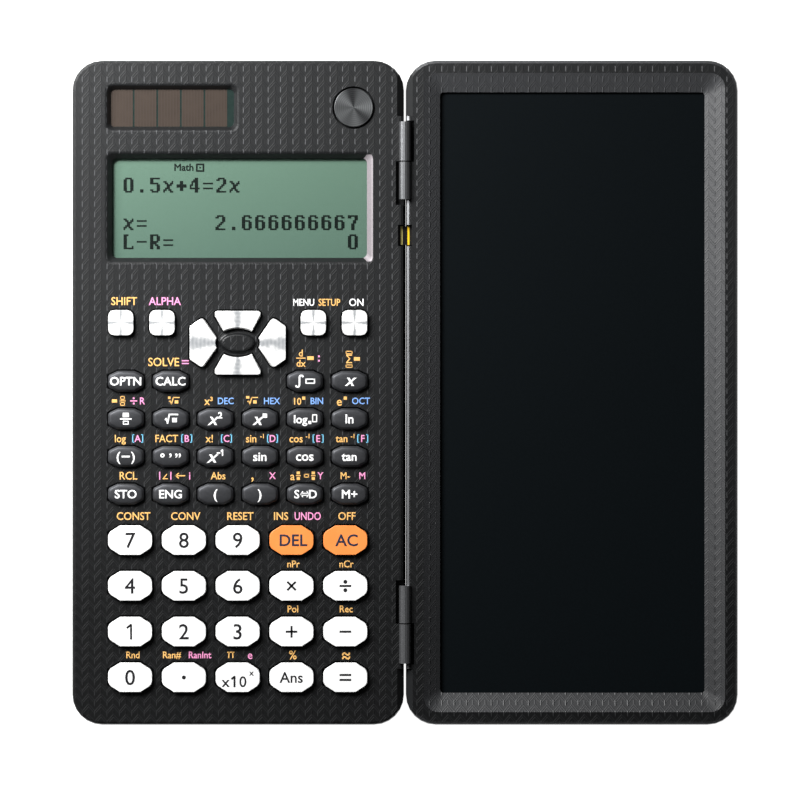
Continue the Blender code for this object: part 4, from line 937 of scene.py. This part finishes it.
function_legends = {
    "a": {
        0: word("OPTN"),
        1: word("CALC"),
        4: ([], [(integral(-1.35, 0, 2.9), 0.42), (box_of(1.35, 0.0, 2.1, 1.0), 0.3)], []),
        5: word("x", 3.0, 0.35, ITALIC),
    },
    "b": {
        0: (
            [],
            [([(-1.35, 0), (1.35, 0)], 0.36), (box_of(0, -0.95, 1.2, 0.75), 0.26)],
            [(0, 0.98, 1.5, 1.1)],
        ),
        1: ([], [(root(-0.3, 0.0, 2.1, 2.2), 0.36)], [(1.0, -0.3, 1.2, 1.1)]),
        2: ([("x", -0.7, 0.0, 3.0, ITALIC), ("2", 1.25, 0.9, 1.5)], [], []),
        3: ([("x", -0.7, 0.0, 3.0, ITALIC)], [], [(1.2, 0.8, 1.1, 1.1)]),
        4: (
            [("log", -1.1, -0.1, 2.0)],
            [(box_of(2.45, 0.15, 1.0, 1.7), 0.28)],
            [(1.25, -0.9, 0.8, 0.8)],
        ),
        5: word("ln", 2.2),
    },
    "c": {
        0: ([("(", -1.9, 0, 2.2), (")", 1.9, 0, 2.2)], [([(-0.9, 0), (0.9, 0)], 0.42)], []),
        1: ([("°", -2.0, -0.6, 2.4), ("’", 0.0, -0.6, 2.6), ("’’", 1.9, -0.6, 2.6)], [], []),
        2: (
            [("x", -0.9, 0.0, 3.0, ITALIC)],
            [([(0.45, 0.9), (1.15, 0.9)], 0.32), ([(1.8, 0.25), (1.8, 1.65), (1.45, 1.35)], 0.32)],
            [],
        ),
        3: word("sin", 2.2),
        4: word("cos", 2.3, 0.1),
        5: word("tan", 2.1),
    },
    "d": {
        0: word("STO"),
        1: word("ENG"),
        2: word("(", 2.3),
        3: word(")", 2.3),
        4: (
            [("S", -2.0, 0, 2.05), ("D", 2.0, 0, 2.05)],
            [
                ([(-0.85, 0.25), (0.85, 0.25)], 0.22),
                ([(-0.85, -0.25), (0.85, -0.25)], 0.22),
                ([(-0.5, 0.7), (-1.05, 0), (-0.5, -0.7)], 0.24),
                ([(0.5, 0.7), (1.05, 0), (0.5, -0.7)], 0.24),
            ],
            [],
        ),
        5: word("M+", 2.1),
    },
}
STRIPS = {"a_left": (0, 1), "a_right": (4, 5)}
for row in "bcd":
    STRIPS[row + "_left"] = (0, 1, 2)
    STRIPS[row + "_right"] = (3, 4, 5)


def put_block(marks, x, y, width, height):
    draw(marks, [(x - width / 2 + 0.3 * height, y), (x + width / 2 - 0.3 * height, y)], height)


def lay_on(marks, surface, middle, level):
    """Drops the marks on to the surface below them, divided finely enough to follow it."""
    long_edges = [edge for edge in marks.edges if edge.calc_length() > 0.6 * MM]
    bmesh.ops.subdivide_edges(marks, edges=long_edges, cuts=3, use_grid_fill=True)
    ground = Vector((middle.x, middle.y, level))
    for vertex in marks.verts:
        start = Vector((vertex.co.x, vertex.co.y, 0.0)) + ground
        hit, spot, _, _ = surface.ray_cast(start, Vector((0, 0, -1)))
        if hit:
            vertex.co.z += spot.z + INK_THICKNESS / 2 - level


for suffix, columns in STRIPS.items():
    node = "function_keys_" + suffix
    low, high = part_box(node)
    cap = from_node(node, node + "_caps")
    centres = [
        Vector((low.x + STRIP_END + STRIP_PITCH * i, (low.y + high.y) / 2, 0.0))
        for i in range(len(columns))
    ]

    def is_strip_corner(edge):
        x = (edge.verts[0].co.x + edge.verts[1].co.x) / 2
        return is_rising(edge) and min(abs(x - centre.x) for centre in centres) > CAP_FLAT

    bevel(cap, is_strip_corner, FUNCTION_SIDE_ROUND, 3, loop_slide=False)
    bevel(cap, is_top_rim, FUNCTION_EDGE_ROUND, 2)
    for centre in centres:
        crown = KEY_TOP

        def is_crown(face):
            spot = face.calc_center_median()
            level = face.normal.z > 0.999 and abs(spot.z - crown) < 0.002 * MM
            return level and abs(spot.x - centre.x) < STRIP_PITCH / 2

        for shrink, rise in DOME:
            open_for_edit(cap, "FACE", is_crown)
            up = (0, 0, rise * MM)
            bpy.ops.mesh.extrude_region_move(TRANSFORM_OT_translate={"value": up})
            bpy.ops.transform.resize(value=(shrink, shrink, 1), center_override=centre)
            close_edit()
            crown += rise * MM
    smooth(cap, 40, flat_area=100)
    cap.data.materials.append(gloss_abs)
    pieces = [cap]
    for column, centre in zip(columns, centres):
        words, lines, blocks = function_legends[suffix[0]][column]
        marks = bmesh.new()
        for text, x, y, height, *slant in words:
            letter(marks, text, x, y, height, BOLD, *slant)
        for points, width in lines:
            draw(marks, points, width)
        for block in blocks:
            put_block(marks, *block)
        lay_on(marks, cap, centre, LAID_FROM)
        pieces.append(printed(marks, node + "_legend", white_ink, LAID_FROM, centre))
    cap = join(pieces, cap.name)
    fit(cap, node, "function_keys", node)


# ------------ square keys and arrows
# Four square keys and four arrow keys about an oval boss, all of aluminium skinned ABS turned on a
# lathe, each with a grey four-armed streak painted on as painted reflection of the light.

SQUARE_SPAN = 10 * MM
ARROW_SPAN = 2.5 * SQUARE_SPAN
bright_metal = new_material("spun_bright_aluminium", "#F4F4F3", 0.34, Metallic=0.3)
sheet = add_node(bright_metal, "UVMap", uv_map="turning").outputs["UV"]
rings, centred, angle = lathe_marks(bright_metal, sheet, (0.5, 0.5), 8.0, 0.4)
wander = noise(bright_metal, centred, 14.0, 3.0)
angle = work_out(bright_metal, "MULTIPLY_ADD", wander, 0.35, angle)
# The grey four-armed streak is painted reflection, laid into the colour by the angle round the
# turning middle and broken up by the rings.
painted_cross = work_out(bright_metal, "MULTIPLY_ADD", angle, 4.0, -0.7)
painted_cross = remap(bright_metal, work_out(bright_metal, "COSINE", painted_cross), 0.7, 1.0)
rings_in_painted_cross = remap(bright_metal, rings, 0.0, 1.0, 0.85, 1.0)
painted_cross = work_out(bright_metal, "MULTIPLY", painted_cross, rings_in_painted_cross)
feed(bright_metal, mix(bright_metal, painted_cross, "#FAFAF9", "#A0A3A6"), "Base Color")
emboss(bright_metal, rings, 0.006 * MM, 0.4)

pad_middle = (centre_of("arrow_left") + centre_of("arrow_right")) / 2
square_nodes = ("key_shift", "key_alpha", "key_menu", "key_power")
arrow_nodes = ("arrow_up", "arrow_down", "arrow_left", "arrow_right")
for node in square_nodes + arrow_nodes:
    cap = from_node(node, node + "_cap")
    draw_out(cap, node)
    bevel(cap, is_top_rim, KEY_EDGE_ROUND, 2, loop_slide=False)
    smooth(cap)
    is_arrow = node in arrow_nodes
    turned_about, span = (pad_middle, ARROW_SPAN) if is_arrow else (centre_of(node), SQUARE_SPAN)
    layer = cap.data.uv_layers.new(name="turning")
    for loop in cap.data.loops:
        spot = cap.data.vertices[loop.vertex_index].co - turned_about
        layer.data[loop.index].uv = (0.5 + spot.x / span, 0.5 + spot.y / span)
    cap.data.materials.append(bright_metal)
    paint_wall_shade(cap)
    fit(cap, node, "silver_keys", node)


# ------------ printed labels
# The second and third functions, screen printed in four inks on the case above each key. Words
# stand where the case had them, and all are plain names of functions.

amber_ink = new_ink("amber_ink", "#EDB25C", "#F3C27A")
pink_ink = new_ink("pink_ink", "#F08CC2", "#F6A6D0")
blue_ink = new_ink("blue_ink", "#6F9FE8", "#8BB4F0")
cyan_ink = new_ink("cyan_ink", "#6CC0E4", "#86CEEC")
LABEL_WEIGHT = 0.035
NARROW = 0.92
TIGHT = 0.8
# Words are (text, x, capital height) in rows at y, lines are (points, width) and blocks are
# (x, y, width, height), all in millimetres on the case.
amber_words = [
    (22.85, [("SHIFT", -70.2, 1.95)]),
    (22.55, [("SETUP", -18.9, 1.7)]),
    (7.63, [("SOLVE", -60.3, 2.05)]),
    (9.85, [("d", -26.0, 1.7)]),
    (7.3, [("dx", -26.0, 1.7)]),
    (8.35, [("Σ", -13.95, 2.0)]),
    (-2.1, [("x³", -49.0, 2.0)]),
    (-2.2, [("10", -27.0, 1.7), ("e", -16.4, 2.2)]),
    (-11.5, [("log", -71.2, 1.8), ("FACT", -59.6, 1.8), ("x!", -48.8, 1.9), ("sin", -38.4, 1.9)]),
    (-10.9, [("-1", -35.6, 1.1)]),
    (-11.5, [("cos", -27.2, 1.9)]),
    (-10.9, [("-1", -24.2, 1.1)]),
    (-11.5, [("tan", -15.75, 1.8)]),
    (-10.9, [("-1", -12.95, 1.1)]),
    (-20.8, [("RCL", -69.2, 1.9), ("∠", -59.9, 1.7), ("Abs", -46.65, 1.8)]),
    (-20.3, [(",", -38.1, 3.0)]),
    (-20.9, [("a", -28.1, 2.0)]),
    (-20.8, [("M-", -14.95, 1.7)]),
    (
        -30.9,
        [
            ("CONST", -67.85, 1.9), ("CONV", -54.85, 1.9), ("RESET", -41.2, 1.9),
            ("INS", -31.0, 1.9), ("OFF", -14.5, 1.9),
        ],
    ),
    (-42.85, [("nPr", -27.9, 1.7), ("nCr", -14.65, 1.7)]),
    (-54.1, [("Pol", -28.0, 1.7), ("Rec", -14.7, 1.7)]),
    (-65.6, [("Rnd", -68.0, 1.65), ("Ran#", -58.3, 1.65), ("%", -28.0, 2.2), ("≈", -14.7, 3.0)]),
]
pink_words = [
    (22.85, [("ALPHA", -60.0, 1.95)]),
    (-2.1, [("R", -65.7, 1.7)]),
    (
        -11.5,
        [
            ("A", -66.8, 1.7), ("B", -54.55, 1.7), ("C", -44.6, 1.7), ("D", -33.1, 1.7),
            ("E", -21.7, 1.7), ("F", -10.55, 1.7),
        ],
    ),
    (-20.8, [("i", -53.8, 1.9), ("X", -33.1, 1.7), ("Y", -21.1, 1.7), ("M", -10.65, 1.7)]),
    (-30.9, [("UNDO", -24.3, 1.9)]),
    (-65.6, [("RanInt", -51.3, 1.65), ("e", -38.7, 2.0)]),
]
blue_words = [
    (-2.1, [("DEC", -44.8, 1.6), ("HEX", -33.3, 1.6), ("BIN", -22.0, 1.6), ("OCT", -11.0, 1.6)]),
]
white_words = [(22.55, [("MENU", -25.3, 1.7), ("ON", -12.1, 1.8)])]
amber_lines = [
    ([(-27.1, 8.6), (-24.9, 8.6)], 0.25), (root(-57.9, -2.1, 1.5, 1.7), 0.25),
    (root(-38.3, -2.1, 1.5, 1.7), 0.25), (box_of(-24.6, -20.8, 1.0, 0.7), 0.24),
    ([(-27.2, -20.8), (-26.1, -20.8)], 0.22), ([(-23.4, -20.8), (-22.4, -20.8)], 0.22),
    ([(-71.2, -2.1), (-69.9, -2.1)], 0.22), (box_of(-70.6, -1.35, 0.95, 0.7), 0.22),
    (box_of(-70.6, -2.85, 0.95, 0.7), 0.22), ([(-57.3, -20.8), (-55.0, -20.8)], 0.28),
    ([(-56.6, -20.2), (-57.3, -20.8), (-56.6, -21.4)], 0.28),
    ([(-44.3, -64.95), (-42.7, -64.95)], 0.28), ([(-43.95, -64.95), (-44.05, -66.3)], 0.28),
    ([(-43.05, -64.95), (-43.0, -66.3)], 0.28), (box_of(-13.95, 10.0, 1.5, 0.6), 0.2),
    (box_of(-13.95, 6.6, 1.5, 0.6), 0.2),
]
amber_blocks = [
    (-23.6, 8.6, 1.6, 0.9), (-12.0, 8.4, 1.5, 0.9), (-72.6, -2.1, 1.3, 0.8),
    (-57.1, -2.35, 0.9, 0.8), (-37.5, -2.35, 0.9, 0.8), (-58.9, -1.3, 0.6, 0.6),
    (-39.3, -1.2, 0.8, 0.6), (-25.3, -1.4, 0.8, 0.8), (-14.9, -1.4, 0.8, 0.8),
    (-26.65, -20.1, 0.8, 0.7), (-26.65, -21.5, 0.8, 0.7), (-22.9, -20.1, 0.8, 0.7),
    (-22.9, -21.5, 0.8, 0.7),
]
pink_lines = [
    ([(-55.7, 7.95), (-54.1, 7.95)], 0.28), ([(-55.7, 7.25), (-54.1, 7.25)], 0.28),
    ([(-68.6, -2.1), (-67.0, -2.1)], 0.28), ([(-61.3, -19.9), (-61.3, -21.7)], 0.28),
    ([(-58.5, -19.9), (-58.5, -21.7)], 0.28),
]
pink_blocks = [
    (-67.8, -1.45, 0.45, 0.45), (-67.8, -2.75, 0.45, 0.45), (-21.5, 9.05, 0.45, 0.45),
    (-21.5, 7.95, 0.45, 0.45),
]
cyan_lines = []
for x in (-66.8, -54.55, -44.6, -33.1, -21.7, -10.55):
    for side in (-1, 1):
        out, y = side * 1.25, -11.5
        bracket = [(x + out - side * 0.3, y + 0.95), (x + out, y + 0.95)]
        bracket += [(x + out, y - 0.95), (x + out - side * 0.3, y - 0.95)]
        cyan_lines.append((bracket, 0.24))

for name, ink, words, lines, blocks in (
    ("amber_labels", amber_ink, amber_words, amber_lines, amber_blocks),
    ("pink_labels", pink_ink, pink_words, pink_lines, pink_blocks),
    ("blue_labels", blue_ink, blue_words, [], []),
    ("cyan_labels", cyan_ink, [], cyan_lines, []),
    ("white_labels", white_ink, white_words, [], []),
):
    marks = bmesh.new()
    for y, row in words:
        for text, x, height in row:
            squeeze = TIGHT if text in ("MENU", "SETUP", "UNDO") else NARROW
            letter(marks, text, x, y, height, LABEL_WEIGHT, squeeze=squeeze)
    for points, width in lines:
        draw(marks, points, width)
    for block in blocks:
        put_block(marks, *block)
    fit(printed(marks, name, ink, FACE_LEVEL), "calculator", "calculator_shell")
# A small status word on the display, beside its boxed sign.
marks = bmesh.new()
letter(marks, "Math", -55.4, 56.45, 1.7, 0.06)
status = printed(marks, "display_status", lcd_dark, PRINT_LEVEL)
fit(status, "calculator", "display_panel")


# ------------ writing tablet
# A black cholesteric film stretched over a backing board, behind the opening of the tablet's frame.

# Laminated polyester film: near black with a soft even shine.
tablet_film = new_material("tablet_film", "#070B0D", 0.45, **{"Specular IOR Level": 0.07})
mottle(tablet_film, "#060A0C", "#0A0F12", 2200.0)
dress("writing_panel", tablet_film)


# ------------ boards, battery and rubber mat
# Parts inside the case: two green boards, a coin cell under its clip, and the grey silicone mat
# with its domes below the keys.

# Glass epoxy under a green solder mask, with faint copper runs below it.
green_board = new_material("solder_mask_board", "#1F5A38", 0.4)
runs = add_node(
    green_board,
    "TexVoronoi",
    {"Vector": object_place(green_board), "Scale": 260.0, "Randomness": 0.6},
    distance="CHEBYCHEV",
)
runs = remap(green_board, runs.outputs["Distance"], 0.35, 0.45)
feed(green_board, mix(green_board, runs, "#1C5434", "#2A6E47"), "Base Color")

# Silicone rubber, matt and slightly dusty.
grey_silicone = new_material("grey_silicone", "#3B3C3E", 0.75)
mottle(grey_silicone, "#333436", "#454648", 900.0, 4.0)

# Stainless steel pressings, drawn with fine lines along their length.
steel = new_material("brushed_stainless", "#B9BABC", 0.3, Metallic=1.0)
stretch = {"Vector": object_place(steel), "Scale": (6.0, 1.0, 6.0)}
drawn = noise(steel, add_node(steel, "Mapping", stretch).outputs[0], 900.0, 3.0)
feed(steel, remap(steel, drawn, 0.0, 1.0, 0.22, 0.42), "Roughness")
feed(steel, mix(steel, drawn, "#A5A6A8", "#C8C9CB"), "Base Color")

# Steel screws and hinge pins with a black oxide coat.
black_steel = new_material("black_oxide_steel", "#3A3B3D", 0.38, Metallic=0.9)
mottle(black_steel, "#2E2F31", "#4A4B4D", 1800.0, 3.0)

for node, material in (
    ("circuit_board", green_board),
    ("tablet_board", green_board),
    ("keypad_mat", grey_silicone),
    ("battery", steel),
    ("battery_clip", steel),
    ("hinge_pin_upper", black_steel),
    ("hinge_pin_lower", black_steel),
    ("battery_door_screw", black_steel),
    ("case_screw_far_left", black_steel),
    ("case_screw_far_right", black_steel),
    ("case_screw_near_left", black_steel),
    ("case_screw_near_right", black_steel),
):
    dress(node, material)


# ------------ ribbon
# A flexible printed circuit joins the boards through the seam, amber polyimide at both edges of the
# seam and black between.

CUT_STEP = 0.2 * MM
CUTS_EACH_SIDE = 8
RUN = 4.0 * MM
polyimide = new_material("polyimide_film", "#D99A2B", 0.35)
place = add_node(polyimide, "UVMap", uv_map="run").outputs["UV"]
axes = add_node(polyimide, "SeparateXYZ", {0: place})
bands = add_node(polyimide, "ValToRGB", {0: axes.outputs["X"]})
ramp = bands.color_ramp
ramp.interpolation = "CONSTANT"
# Black, pale yellow, black, full amber and black across the ribbon; the left band is painted paler
# than the right as painted light against the shade of its slot.
ramp.elements[0].color = linear("#1B1B1C")
ramp.elements[1].position = 0.22
ramp.elements[1].color = linear("#FFF2A8")
for position, colour in ((0.36, "#161617"), (0.66, "#FFD92B"), (0.78, "#1B1B1C")):
    ramp.elements.new(position).color = linear(colour)
fleck = noise(polyimide, place, 60.0)
tint = mix(polyimide, fleck, bands.outputs["Color"], "#8A6A2C", "SOFT_LIGHT")
feed(polyimide, tint, "Base Color")

ribbon = from_node("ribbon_cable", "ribbon")
for i in range(-CUTS_EACH_SIDE, CUTS_EACH_SIDE + 1):
    open_for_edit(ribbon, "FACE", lambda face: True)
    bpy.ops.mesh.bisect(plane_co=(i * CUT_STEP, 0, 0), plane_no=(1, 0, 0))
    close_edit()
layer = ribbon.data.uv_layers.new(name="run")
for loop in ribbon.data.loops:
    spot = ribbon.data.vertices[loop.vertex_index].co
    layer.data[loop.index].uv = (0.5 + spot.x / RUN, spot.y / RUN)
ribbon.data.materials.append(polyimide)
smooth(ribbon, 40, flat_area=100)
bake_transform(ribbon)
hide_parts("ribbon_cable")


# ------------ studio
# A pale table lit from the left of the display end by a soft lamp, a small near one and a high one,
# in a plain room. The camera looks straight down through a long lens.

GLOW = {"Specular IOR Level": 0.0, "Emission Color": "#FFFFFF", "Emission Strength": 1.0}
floor_white = new_material("pale_table", "#F6F6F5", 0.9, **GLOW)
mottle(floor_white, "#F8F8F7", "#FFFFFF", 30.0)
bpy.ops.mesh.primitive_plane_add(size=6.0)
table = bpy.context.object
table.name = "table"
table.data.materials.append(floor_white)
table.data.transform(Matrix.Translation((0, 0, -0.02 * MM)))


def add_lamp(name, place, aim, size, power):
    bpy.ops.object.light_add(type="AREA", location=place)
    lamp = bpy.context.object
    lamp.name = name
    lamp.data.size = size
    lamp.data.energy = power
    lamp.rotation_euler = (Vector(aim) - Vector(place)).to_track_quat("-Z", "Y").to_euler()
    lamp.visible_camera = False


add_lamp("key_lamp", (-0.36, 0.20, 0.28), (-0.02, 0.02, 0.0), 0.2, 2.3)
add_lamp("corner_lamp", (-0.15, 0.16, 0.14), (-0.08, 0.07, 0.0), 0.07, 0.52)
add_lamp("glare_lamp", (-0.22, 0.30, 0.40), (-0.06, 0.06, 0.0), 0.14, 2.0)

ROOM_LIGHT = 0.07
room = bpy.data.worlds.new("room")
room.use_nodes = True
backdrop = room.node_tree.nodes["Background"]
backdrop.inputs["Color"].default_value = linear("#FFFFFF")
backdrop.inputs["Strength"].default_value = ROOM_LIGHT
bpy.context.scene.world = room
bpy.context.scene.view_settings.view_transform = "Standard"

LENS = 200.0
SENSOR = 36.0
FRAMED = 200 * MM
CAMERA_PLACE = (-1.225 * MM, -1.875 * MM)
camera = bpy.data.objects.new("camera", bpy.data.cameras.new("camera"))
bpy.context.scene.collection.objects.link(camera)
camera.data.lens = LENS
camera.data.sensor_width = SENSOR
camera.data.clip_start = 0.01
camera.data.clip_end = 20.0
camera.location = (*CAMERA_PLACE, FACE_LEVEL + FRAMED * LENS / SENSOR)
bpy.context.scene.camera = camera
